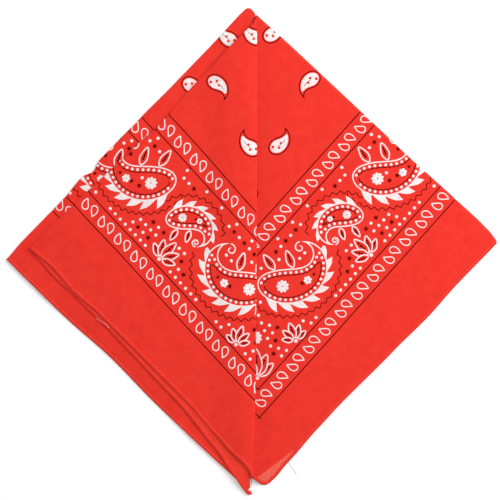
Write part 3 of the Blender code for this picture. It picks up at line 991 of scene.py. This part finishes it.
# %% [markdown]
# ## The front's left half
# This half comes from the left and rolls over at the pleat, standing above the right
# half on two hidden layers. Its upper-left edge is a fold, and its lower-left edge a
# hem that curls in at the bottom. The flat sheet goes on past both folds.

# %% Front, left half
PLEAT_LOW, PLEAT_HIGH = -178.0, 187.0
PLEAT_LEAST, PLEAT_MOST = 1.0, 14.0
pleat_rise = ridge_top - front_top
pleat_x = 2.5


def pleat_depth(y):
    """How far the cloth goes on under the pleat at this height. Near the top the side fold cuts it short."""
    share = min(max((y - PLEAT_LOW) / (PLEAT_HIGH - PLEAT_LOW), 0.0), 1.0)
    to_fold = 9.5 - (y - FRONT_LEFT_FOLD[0][1])
    return max(0.3, min(PLEAT_LEAST + (PLEAT_MOST - PLEAT_LEAST) * share, to_fold))


def pleat_lift(x, y):
    """How far the left half stands above its layer beside the pleat."""
    height = pitch + (pleat_rise - pitch) * eased((y + 142) / 30 + 1)
    return height * (1 - eased((pleat_x - x - pleat_depth(y) - 5) / 30))


def pleat_edge_x(y):
    """Where the pleat's rolled edge is at this height."""
    for (ax, ay), (bx, by) in zip(PLEAT_EDGE, PLEAT_EDGE[1:]):
        if y <= by:
            return ax + (bx - ax) * max(0.0, (y - ay) / (by - ay))
    return PLEAT_EDGE[-1][0]


NOSE = 14.0  # how far back from the ridge the cloth starts to round
nose_profile = rolled_profile(NOSE, 1.8, pleat_rise - CLOTH, 1.0, PLEAT_MOST)
nose_length = length_of(nose_profile[:-1])
FRONT_LEFT_SINK, SECOND_SINK = 0.35, 0.6
SINK_FROM = 22.0  # how far from a hem the cloth starts to sink
FOLD_RUN = 4.5  # and how far back the side fold starts to round
FOLD_SINK = 0.9  # how far the side fold sinks
fold_profile = rolled_profile(FOLD_RUN, 0.7, 1.2, 0.5, 4.0)
left_creases = [
    crease((-150, 20), (-96, -38), 9, 0.35),
    crease((-60, -70), (-30, -104), 7, 0.3),
    crease((-120, -8), (-70, 30), 14, -0.25),
    crease((-30, 100), (-46, 10), 15, -0.3),
    crease((-100, -30), (-20, -125), 6, -0.2),
]


def hem_sink(ends, point, most):
    """How far a layer sinks towards its hem, where no fold holds it up."""
    return most * eased((past(ends, (), point)[0] + SINK_FROM) / (SINK_FROM - 2.0))


def lay_front_left(point):
    """Lays the flat left half in its place."""
    away, _share = past(FRONT_LEFT_FOLD, FRONT_LEFT_FOLD_BOWS, point)
    away -= 1.6 * eased(point.x / 3.4)  # the fold turns up beside the ridge
    spot, down = point.copy(), 0.0
    if away > -FOLD_RUN:
        out, down = carried(fold_profile, away + FOLD_RUN)
        spot = point + outward(FRONT_LEFT_FOLD) * (out - away)
    down += FOLD_SINK * eased((away + NOSE) / NOSE)  # and sinks to the layer beneath
    sink = hem_sink(FRONT_LEFT_HEM, point, FRONT_LEFT_SINK)
    edge_x = pleat_edge_x(point.y)
    beyond_nose = spot.x - (edge_x - NOSE)
    lift = pleat_lift(min(spot.x, edge_x), point.y)
    if beyond_nose > 0:
        squeeze = lift / pleat_rise
        out, fall = carried(nose_profile, beyond_nose)
        spot = Vector((edge_x + out, spot.y))
        down += fall * squeeze
    soft = swell(point, 1.0) + raised(left_creases, point)
    return Vector((spot.x, spot.y, front_top + lift + soft * (1 - min(1.0, down)) - down - sink))


def left_half_outline():
    """The flat outline of the left half, past its folds."""
    under = length_of(fold_profile) - FOLD_RUN
    fold = edge(FRONT_LEFT_FOLD, FRONT_LEFT_FOLD_BOWS, out=under)
    hem = edge(FRONT_LEFT_HEM, FRONT_LEFT_HEM_BOWS)[:-1] + line_of(FRONT_LEFT_CURL, spacing=2.0)
    hem_in = beside(hem, SHEET_IN)
    round_nose = stations(nose_profile)[10]
    foot = [Vector((pleat_edge_x(y) - NOSE + round_nose, y)) for y in (-177, -172, -167)]
    beyond = [Vector((pleat_edge_x(y) - NOSE + nose_length + pleat_depth(y), y)) for y in range(-160, 181, 4)]
    top = [Vector((pleat_edge_x(184) - NOSE + round_nose, 185.0)), Vector((-1.0, 186.0))]
    return fold + hem_in[:-1] + foot + beyond + top


def stations(profile):
    """How far along a profile each of its points lies."""
    walked, found = 0.0, [0.0]
    for before, after in zip(profile, profile[1:-1]):
        walked += (after - before).length
        found.append(walked)
    return found


def nose_points(low, high):
    """Even rows of points where the cloth rounds the pleat."""
    made = []
    y = low
    while y < high:
        start = pleat_edge_x(y) - NOSE
        made += [Vector((start + along, y)) for along in stations(nose_profile)]
        y += 2.0
    return made


def fold_points(ends, bows, profile):
    """Even rows of points where the cloth rounds a folded edge."""
    made = []
    for along in stations(profile):
        made += edge(ends, bows, spacing=2.2, out=profile[0].x + along)[1:-1]
    return made


DRAG, DRAG_SIZE = 1.8, 70.0  # how far the print wanders, and over what distance


def dragged(point):
    """The cloth is never pulled quite straight, so its print wanders a little, slowly from place to place."""
    spot = Vector((point.x / DRAG_SIZE, point.y / DRAG_SIZE, 2.0))
    return point + Vector((noise.noise(spot), noise.noise(spot + Vector((9.0, 0.0, 0.0))))) * DRAG


LEFT_CORNER = (16.8, -132.4)
left_print = placed(LEFT_PRINT, 0.9, LEFT_CORNER)
left_print = [(ink, [dragged(point) for point in points]) for ink, points in left_print]
left_extra = nose_points(-173, 184) + fold_points(FRONT_LEFT_FOLD, FRONT_LEFT_FOLD_BOWS, fold_profile)
left_extra = within(left_half_outline(), left_extra)


def left_rounds(point):
    """Whether the left half rounds the pleat or its fold here, where it has points of its own."""
    by_pleat = point.x > pleat_edge_x(point.y) - NOSE - 1
    return by_pleat or past(FRONT_LEFT_FOLD, FRONT_LEFT_FOLD_BOWS, point)[0] > -FOLD_RUN - 1.2


front_left = printed_sheet(
    "front_left_cloth", left_half_outline(), left_print, lay_front_left, left_extra, left_rounds
)

# %% [markdown]
# ## The front's right half
# This half goes under the pleat at its left. At the upper right it rounds the whole
# stack and comes back beneath it. Its bottom corner reaches past the stack, so it hangs
# a little, and the pale floor's light through it is painted into the cloth's colour.

# %% Front, right half
RIGHT_CORNER = (5.9, -130.7)
STACK_RUN = 2.6  # how far back from the stack's edge the cloth starts to round it
stack_profile = rolled_profile(STACK_RUN, 2.3, front_top - CLOTH - FLOOR_GAP, 2.6, 12.0)
right_creases = [
    crease((2, 150), (2, -150), 9, -1.3),
    crease((34, -60), (22, -150), 8, -0.35),
    crease((60, 100), (120, 40), 20, 0.4),
    crease((30, 20), (80, -30), 12, 0.25),
    crease((100, -60), (70, -20), 7, -0.3),
    crease((150, 10), (120, -30), 10, 0.3),
]


def corner_droop(point):
    """How far the corner hangs past the stack."""
    away, _share = past(CORNER_SHOULDER, (), point)
    return 3.5 * eased(away / 10)


def lay_front_right(point):
    """Lays the flat right half in its place."""
    away, _share = past(FRONT_RIGHT_FOLD, FRONT_RIGHT_FOLD_BOWS, point)
    spot, down = point.copy(), 0.0
    if away > -STACK_RUN:
        out, down = carried(stack_profile, away + STACK_RUN)
        spot = point + outward(FRONT_RIGHT_FOLD) * (out - away)
    soft = swell(point, 3.0) + raised(right_creases, point)
    soft *= 1 - min(1.0, down / 2)
    return Vector((spot.x, spot.y, front_top + soft - down - corner_droop(point)))


def right_half_outline():
    """The flat outline of the right half, past its fold and in under the pleat."""
    hem = line_of(FRONT_RIGHT_CORNER, spacing=2.0) + edge(FRONT_RIGHT_HEM, FRONT_RIGHT_HEM_BOWS)[1:]
    hem_in = beside(hem, SHEET_IN)
    under = length_of(stack_profile) - STACK_RUN
    fold = edge(FRONT_RIGHT_FOLD, FRONT_RIGHT_FOLD_BOWS, out=under)
    hidden = [Vector((-2.0 - 0.024 * (y + 160), y)) for y in range(162, -168, -6)]
    return hem_in + fold + [Vector((4.0, 187.0)), Vector((1.0, 177.0)), Vector((-5.0, 169.5))] + hidden


right_extra = fold_points(FRONT_RIGHT_FOLD, FRONT_RIGHT_FOLD_BOWS, stack_profile)
right_extra = within(right_half_outline(), right_extra)
right_print = placed(RIGHT_PRINT, 0.0, RIGHT_CORNER)


def right_rounds(point):
    """Whether the right half rounds its fold here."""
    return past(FRONT_RIGHT_FOLD, FRONT_RIGHT_FOLD_BOWS, point)[0] > -STACK_RUN - 1.2


front_right = printed_sheet(
    "front_right_cloth", right_half_outline(), right_print, lay_front_right, right_extra, right_rounds
)

# %% [markdown]
# ## The layers beneath
# The second layer shows its wrong side in a strip below the front's hem, and its corner
# is the lowest tip of all. The third layer shows its right side again, with a strip of
# the same print along the upper left, shifted because the folds do not quite meet.

# %% Second and third layers
second_creases = [crease((-75, -122), (-12, -186), 8, 1.0)]
third_creases = [crease((-150, -52), (-70, -130), 9, -1.3)]


def lay_second(point):
    """Lays the second layer, its corner hanging past the stack."""
    away, _share = past(TONGUE_SHOULDER, (), point)
    droop = 1.6 * eased(away / 10)
    soft = swell(point, 7.0, 0.15) + raised(second_creases, point) - hem_sink(SECOND_HEM, point, SECOND_SINK)
    return Vector((point.x, point.y, second_top + 0.35 + soft - droop))


def second_outline():
    """The second layer, from its hem to where the front hides it."""
    hem = edge(SECOND_HEM, SECOND_HEM_BOWS)
    hem_in = beside(hem, SHEET_IN)
    tip = [Vector((-9.4, -182.4)), Vector((-6.0, -186.6)), Vector((-3.2, -188.2)), Vector((-1.4, -186.0))]
    inner = [Vector((-1.6, -180.0)), Vector((0.0, -172.0)), Vector((0.0, 150.0)), Vector((-8.0, 158.0))]
    return hem_in[:-1] + tip + inner + [Vector((-160.0, 4.0))]


second_layer = printed_sheet("second_layer_cloth", second_outline(), [], lay_second, spacing=4.0)
for face in second_layer.data.polygons:
    face.material_index = 3 if face.material_index == 0 else 0

THIRD_TURN_DOWN = 1.9
THIRD_RUN = 1.2
third_profile = rolled_profile(THIRD_RUN, 0.9, THIRD_TURN_DOWN - FLOOR_GAP, 0.8, 4.0)


def lay_third(point):
    """Lays the third layer, folded down to the floor at the upper left."""
    away, _share = past(THIRD_FOLD, THIRD_FOLD_BOWS, point)
    spot, down = point.copy(), 0.0
    if away > -THIRD_RUN:
        out, down = carried(third_profile, away + THIRD_RUN)
        spot = point + outward(THIRD_FOLD) * (out - away)
    soft = swell(point, 11.0, 0.12) + raised(third_creases, point)
    return Vector((spot.x, spot.y, third_top + soft * (1 - min(1.0, down)) - down))


def third_outline():
    """The third layer's half of the diamond, past its fold."""
    under = length_of(third_profile) - THIRD_RUN
    fold = edge(THIRD_FOLD, THIRD_FOLD_BOWS, out=under)
    hem = edge(THIRD_HEM, THIRD_HEM_BOWS)
    hem_in = beside(hem, SHEET_IN)
    inner = [Vector((0.0, -176.0)), Vector((0.0, 176.0))]
    tip = [Vector(spot) for spot in ((2.8, 186.9), (1.2, 189.6), (-1.4, 192.0), (-3.4, 192.3), (-5.6, 191.2))]
    return fold + hem_in + inner + tip


def beside_fold(shapes, reach):
    """The ink shapes that lie near the third layer's fold, where they can be seen."""
    return [shape for shape in shapes if any(past(THIRD_FOLD, (), point)[0] > -reach for point in shape[1])]


third_print = beside_fold(placed(LEFT_PRINT, 0.9, (LEFT_CORNER[0] - 20.2, LEFT_CORNER[1] - 1.6)), 30)
third_extra = fold_points(THIRD_FOLD, THIRD_FOLD_BOWS, third_profile)
third_extra = within(third_outline(), third_extra)


def third_rounds(point):
    """Whether the third layer rounds its fold here."""
    return past(THIRD_FOLD, THIRD_FOLD_BOWS, point)[0] > -THIRD_RUN - 1.2


third_layer = printed_sheet(
    "third_layer_cloth", third_outline(), third_print, lay_third, third_extra, third_rounds, 3.4
)

# %% [markdown]
# ## Hems
# Each raw edge is turned twice and stitched, so a hem is a flat band three layers
# thick, rounded outside, with a groove where the stitches pull it down. It is swept
# along its edge at the height of its own layer.

# %% Hem bands
HEM_THICK = 0.8
STITCH_IN = 2.1  # from the hem's outer edge to its stitches
STITCH_PITCH = 2.9


def hem_section():
    """The cut through a hem: across from its outer edge, and up from its middle."""
    half = HEM_THICK / 2
    section = [(0.0, -0.22), (0.2, half * 0.1), (0.55, half * 0.6), (1.0, half * 0.9), (1.6, half)]
    section += [(STITCH_IN, half - 0.07), (2.5, half - 0.02), (2.8, half - 0.1)]
    section += [(HEM_WIDTH + 0.2, half - 0.32)]
    section += [(2.9, -half * 0.7), (2.0, -half), (0.8, -half), (0.25, -half * 0.85)]
    return section


def hem_band(name, line, height):
    """Sweeps the hem's cut along a line. height gives the top of the layer at a point."""
    shape = bmesh.new()
    rings = []
    walked = 0.0
    for index, (point, side) in enumerate(zip(line, normals_of(line))):
        if index:
            walked += (point - line[index - 1]).length
        pull = 0.07 * math.sin(math.tau * walked / (STITCH_PITCH * 2))
        ring = []
        for across, up in hem_section():
            spot = point + side * across
            lifted = height(spot) - HEM_THICK / 2 + 0.18 + up * (1 + pull)
            ring.append(shape.verts.new(Vector((spot.x, spot.y, lifted)) * MM))
        rings.append(ring)
    for before, after in zip(rings, rings[1:]):
        count = len(before)
        for index in range(count):
            following = (index + 1) % count
            shape.faces.new((before[index], before[following], after[following], after[index]))
    shape.faces.new(rings[0][::-1])
    shape.faces.new(rings[-1])
    bmesh.ops.recalc_face_normals(shape, faces=shape.faces[:])
    for face in shape.faces:
        face.smooth = True
    mesh = bpy.data.meshes.new(name)
    shape.to_mesh(mesh)
    shape.free()
    mesh.materials.append(hem_cotton)
    piece = bpy.data.objects.new(name, mesh)
    scene.collection.objects.link(piece)
    print(f"{name}: {len(mesh.polygons)} faces")
    return piece


left_curl = line_of(FRONT_LEFT_CURL, spacing=1.5)
right_corner = line_of(FRONT_RIGHT_CORNER, spacing=1.0)
second_tongue = line_of(SECOND_TONGUE, spacing=1.0)
left_hem_line = even_line(edge(FRONT_LEFT_HEM, FRONT_LEFT_HEM_BOWS)[:-1] + left_curl)
right_hem_line = even_line(right_corner + edge(FRONT_RIGHT_HEM, FRONT_RIGHT_HEM_BOWS)[1:])
second_hem_line = even_line(edge(SECOND_HEM, SECOND_HEM_BOWS)[:-1] + second_tongue)
third_hem_line = even_line(edge(THIRD_HEM, THIRD_HEM_BOWS))


def left_hem_top(point):
    """How high the left half is at its hem."""
    sink = hem_sink(FRONT_LEFT_HEM, point, FRONT_LEFT_SINK)
    return front_top + pleat_lift(point.x, point.y) + swell(point, 1.0) + raised(left_creases, point) - sink


def right_hem_top(point):
    """How high the right half is at its hem."""
    return front_top - corner_droop(point) + swell(point, 3.0) + raised(right_creases, point)


def second_hem_top(point):
    """How high the second layer is at its hem."""
    return lay_second(point).z


def third_hem_top(point):
    """How high the third layer is at its hem."""
    return third_top + swell(point, 11.0, 0.12) + raised(third_creases, point)


hems = {
    "front_left_hem": (left_hem_line, left_hem_top),
    "front_right_hem": (right_hem_line, right_hem_top),
    "second_layer_hem": (second_hem_line, second_hem_top),
    "third_layer_hem": (third_hem_line, third_hem_top),
}
hem_pieces = {node: hem_band(node + "_band", line, height) for node, (line, height) in hems.items()}

# %% [markdown]
# ## Stitches
# A lockstitch shows as a row of short thread dashes. Geometry Nodes repeat one small
# rounded dash along a line in each hem's groove: the line is cut at the stitch's pitch,
# a dash is placed at each cut and turned along the line, and all are made real.

# %% Stitches by Geometry Nodes
def stitch_tree():
    """The node tree that lays stitches along a line."""
    tree = bpy.data.node_groups.new("stitches along a hem", "GeometryNodeTree")
    face = tree.interface
    face.new_socket("Geometry", in_out="INPUT", socket_type="NodeSocketGeometry")
    for name, value in (("Pitch", STITCH_PITCH * MM), ("Length", 2.85 * MM), ("Thickness", 0.42 * MM)):
        socket = face.new_socket(name, in_out="INPUT", socket_type="NodeSocketFloat")
        socket.default_value = value
    face.new_socket("Thread", in_out="INPUT", socket_type="NodeSocketMaterial")
    face.new_socket("Geometry", in_out="OUTPUT", socket_type="NodeSocketGeometry")
    given = tree.nodes.new("NodeGroupInput").outputs
    line = add(tree, "GeometryNodeMeshToCurve", Mesh=given["Geometry"])
    cut = add(tree, "GeometryNodeResampleCurve", Curve=line.outputs[0])
    cut.mode = "LENGTH"
    tree.links.new(given["Pitch"], cut.inputs["Length"])
    dash = add(tree, "GeometryNodeMeshUVSphere", Segments=6, Rings=5, Radius=0.5)
    size = add(tree, "ShaderNodeCombineXYZ", X=given["Length"], Y=given["Thickness"], Z=given["Thickness"])
    along = add(tree, "GeometryNodeInputTangent")
    turn = add(tree, "FunctionNodeAlignRotationToVector", {"axis": "X"}, Vector=along.outputs[0])
    laid = add(tree, "GeometryNodeInstanceOnPoints", Points=cut.outputs[0], Instance=dash.outputs["Mesh"])
    tree.links.new(turn.outputs[0], laid.inputs["Rotation"])
    tree.links.new(size.outputs[0], laid.inputs["Scale"])
    real = add(tree, "GeometryNodeRealizeInstances", Geometry=laid.outputs[0])
    inked = add(tree, "GeometryNodeSetMaterial", Geometry=real.outputs[0], Material=given["Thread"])
    out = tree.nodes.new("NodeGroupOutput")
    tree.links.new(inked.outputs[0], out.inputs["Geometry"])
    return tree


def stitch_line(line, height):
    """The path of a hem's stitches, in its groove."""
    path = beside(line, STITCH_IN)[2:-2]
    return [Vector((p.x, p.y, height(p) + 0.14)) * MM for p in path]


def stitches(name, paths):
    """One mesh with all the stitches."""
    mesh = bpy.data.meshes.new(name)
    points, edges = [], []
    for path in paths:
        edges += [(len(points) + index, len(points) + index + 1) for index in range(len(path) - 1)]
        points += path
    mesh.from_pydata(points, edges, [])
    piece = bpy.data.objects.new(name, mesh)
    scene.collection.objects.link(piece)
    modifier = piece.modifiers.new("stitches", "NODES")
    modifier.node_group = stitch_tree()
    for item in modifier.node_group.interface.items_tree:
        if item.in_out == "INPUT" and item.name == "Thread":
            modifier[item.identifier] = thread
    piece = applied(piece)
    for face in piece.data.polygons:
        face.use_smooth = True
    print(f"{name}: {len(piece.data.polygons)} faces")
    return piece


stitch_rows = stitches("hem_stitches", [stitch_line(line, height) for line, height in hems.values()])

# %% [markdown]
# ## Inside the stack
# Behind the front on the right lie two more layers, and the bottom layer runs under
# everything. Only their edges show, from the side, as three more hems that do not quite
# line up, so each is a thin sheet with a thicker, rounded rim.

# %% Hidden layers
core_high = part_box("folded_core")[1] / MM
BOTTOM_LOW = [(-184, -1), (-8, -174), (2, -176), (14, -170)]
BOTTOM_HIGH = [(183, 3), (172, 16), (14, 172), (0, 176), (-12, 172)]
HIDDEN_LAYERS = (  # the height of its underside, and its corners
    (FLOOR_GAP, BOTTOM_LOW + BOTTOM_HIGH),
    (third_top - 1.0, [(16, -166), (184, 2), (176, 14), (16, 166)]),
    (second_top - 1.0, [(16, -164), (182, 1), (174, 12), (16, 162)]),
)


def hidden_sheet(shape, corners, base):
    """Adds one sheet with a rounded rim to a mesh under construction."""
    sides = zip(corners, corners[1:] + corners[:1])
    line = even_line([Vector(a).lerp(Vector(b), s / 12) for a, b in sides for s in range(12)], 4.0)
    if area_of(line) < 0:
        line = line[::-1]
    wavering = []
    for point, side in zip(line, normals_of(line, True)):
        wavering.append(point + side * 0.5 * noise.noise(Vector((point.x / 30, point.y / 30, base))))
    section = [(3.4, 0.25), (3.0, 0.0), (0.4, 0.0), (0.05, 0.3), (0.0, 0.5)]
    section += [(0.05, 0.7), (0.4, 1.0), (3.0, 1.0), (3.4, 0.7)]
    rings = []
    for across, up in section:
        line = beside(wavering, across, closed=True)
        rings.append([shape.verts.new(Vector((p.x, p.y, base + up)) * MM) for p in line])
    count = len(wavering)
    for before, after in zip(rings, rings[1:]):
        for index in range(count):
            following = (index + 1) % count
            shape.faces.new((before[index], before[following], after[following], after[index]))
    shape.faces.new(rings[0][::-1])
    shape.faces.new(rings[-1])


def hidden_layers():
    """The unseen layers as one piece."""
    shape = bmesh.new()
    for base, corners in HIDDEN_LAYERS:
        hidden_sheet(shape, corners, base)
    bmesh.ops.recalc_face_normals(shape, faces=shape.faces[:])
    bmesh.ops.triangulate(shape, faces=[face for face in shape.faces if len(face.verts) > 4])
    for face in shape.faces:
        face.smooth = True
    mesh = bpy.data.meshes.new("hidden_layers_cloth")
    shape.to_mesh(mesh)
    shape.free()
    mesh.materials.append(cotton_back)
    piece = bpy.data.objects.new("hidden_layers_cloth", mesh)
    scene.collection.objects.link(piece)
    print(f"hidden_layers_cloth: {len(mesh.polygons)} faces")
    print("its solid reaches", [round(c, 1) for c in core_high], "mm")
    return piece


hidden = hidden_layers()

# %% [markdown]
# ## Loose threads
# Cheap hems leave tails of thread. One hangs from the right hem, one from the corner by
# the pleat, and a pale one has come loose along the left hem. Each is a thin tube along
# a few points.

# %% Thread tails
TAILS = {
    "right_tail": ([(29.3, -166.5), (30.6, -170.2), (33.4, -173.4), (35.3, -176.8)], 0.2, 0.14, bleached),
    "corner_tail": ([(-0.8, -179.4), (-0.4, -182.0), (-0.6, -184.8)], 0.8, 0.18, bleached),
    "left_tail": (
        [(-122.6, -52.6), (-118.4, -55.4), (-114.8, -57.6), (-112.7, -60.2)], 4.4, 0.15, pale_thread
    ),
}


def tail(name, points, height, radius, material):
    """A short tube of thread."""
    curve = bpy.data.curves.new(name, "CURVE")
    curve.dimensions = "3D"
    curve.bevel_depth = radius * MM
    curve.bevel_resolution = 2
    curve.use_fill_caps = True
    line = line_of(points, spacing=0.8)
    spline = curve.splines.new("POLY")
    spline.points.add(len(line) - 1)
    for index, point in enumerate(line):
        spline.points[index].co = (point.x * MM, point.y * MM, height * MM, 1.0)
    tube = bpy.data.objects.new(name, curve)
    scene.collection.objects.link(tube)
    graph = bpy.context.evaluated_depsgraph_get()
    mesh = bpy.data.meshes.new_from_object(tube.evaluated_get(graph))
    bpy.data.objects.remove(tube)
    bpy.data.curves.remove(curve)
    mesh.materials.clear()
    mesh.materials.append(material)
    piece = bpy.data.objects.new(name, mesh)
    scene.collection.objects.link(piece)
    return piece


tails = [tail(name, *values) for name, values in TAILS.items()]

# %% [markdown]
# ## Floor, light and camera
# The cloth lies on a plain white table under soft light from the upper right, and the
# camera looks straight down. A long lens keeps the sides of the stack out of sight.

# %% Stage
VIEW_WIDTH = 392.5
VIEW_CENTRE = (-1.6, 1.2)
LENS = 85.0
low, high = cad_box
bpy.ops.mesh.primitive_plane_add(size=6.0, location=((low.x + high.x) / 2, (low.y + high.y) / 2, 0.0))
floor = bpy.context.object
floor.name = "white_table"
table_top = bpy.data.materials.new("matt white table top")
table_top.use_nodes = True
table_shader = table_top.node_tree.nodes["Principled BSDF"]
table_shader.inputs["Base Color"].default_value = linear("#FFFFFF")
table_shader.inputs["Roughness"].default_value = 0.9
table_shader.inputs["Specular IOR Level"].default_value = 0.2
floor.data.materials.append(table_top)

world = bpy.data.worlds.new("soft room light")
world.use_nodes = True
world.node_tree.nodes["Background"].inputs["Color"].default_value = linear("#FFFFFF")
world.node_tree.nodes["Background"].inputs["Strength"].default_value = 0.47
scene.world = world


def soft_light(name, place, size, power):
    """A square area light that looks at the cloth."""
    data = bpy.data.lights.new(name, "AREA")
    data.size = size
    data.energy = power
    lamp = bpy.data.objects.new(name, data)
    lamp.location = place
    lamp.rotation_euler = (-Vector(place)).to_track_quat("-Z", "Y").to_euler()
    scene.collection.objects.link(lamp)
    return lamp


soft_light("window at the upper right", (1.0, 0.75, 0.95), 1.0, 21.5)
soft_light("ceiling", (0.2, 0.3, 2.2), 1.6, 13.0)

camera = bpy.data.objects.new("camera", bpy.data.cameras.new("camera"))
camera.data.lens = LENS
distance = VIEW_WIDTH * MM * LENS / camera.data.sensor_width
middle = (low + high) / 2
camera.location = (middle.x + VIEW_CENTRE[0] * MM, middle.y + VIEW_CENTRE[1] * MM, high.z + distance)
camera.rotation_euler = (0.0, 0.0, 0.0)
scene.collection.objects.link(camera)
scene.camera = camera
scene.view_settings.view_transform = "Standard"
print(f"camera {distance:.3f} m above the cloth")

# %% [markdown]
# ## On the body
# Every piece rides on the one body and stands for its solid, which is hidden. The table
# lists each sheet's slot, its flat outline with hems left out, and what it rests on, but only
# the piece and its solid are used here.

# %% Pieces on the body, their solids hidden
UNDER_LEFT = ("second_layer_cloth", "front_right_cloth")
SHEETS = (
    (front_left, "front_left", "printed_cotton", left_half_outline(), UNDER_LEFT),
    (front_right, "front_right", "printed_cotton", right_half_outline(), ("hidden_layers_cloth",)),
    (second_layer, "second_layer", "wrong_side_cotton", second_outline(), ("third_layer_cloth",)),
    (third_layer, "third_layer", "printed_cotton", third_outline(), ("hidden_layers_cloth",)),
)
for piece, node, slot, outline, below in SHEETS:
    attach(piece, "root")
    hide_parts(node)
    band = hem_pieces[node + "_hem"]
for node, band in hem_pieces.items():
    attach(band, "root")
    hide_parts(node)
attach(hidden, "root")
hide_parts("folded_core")
for piece in (stitch_rows, *tails):
    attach(piece, "root")
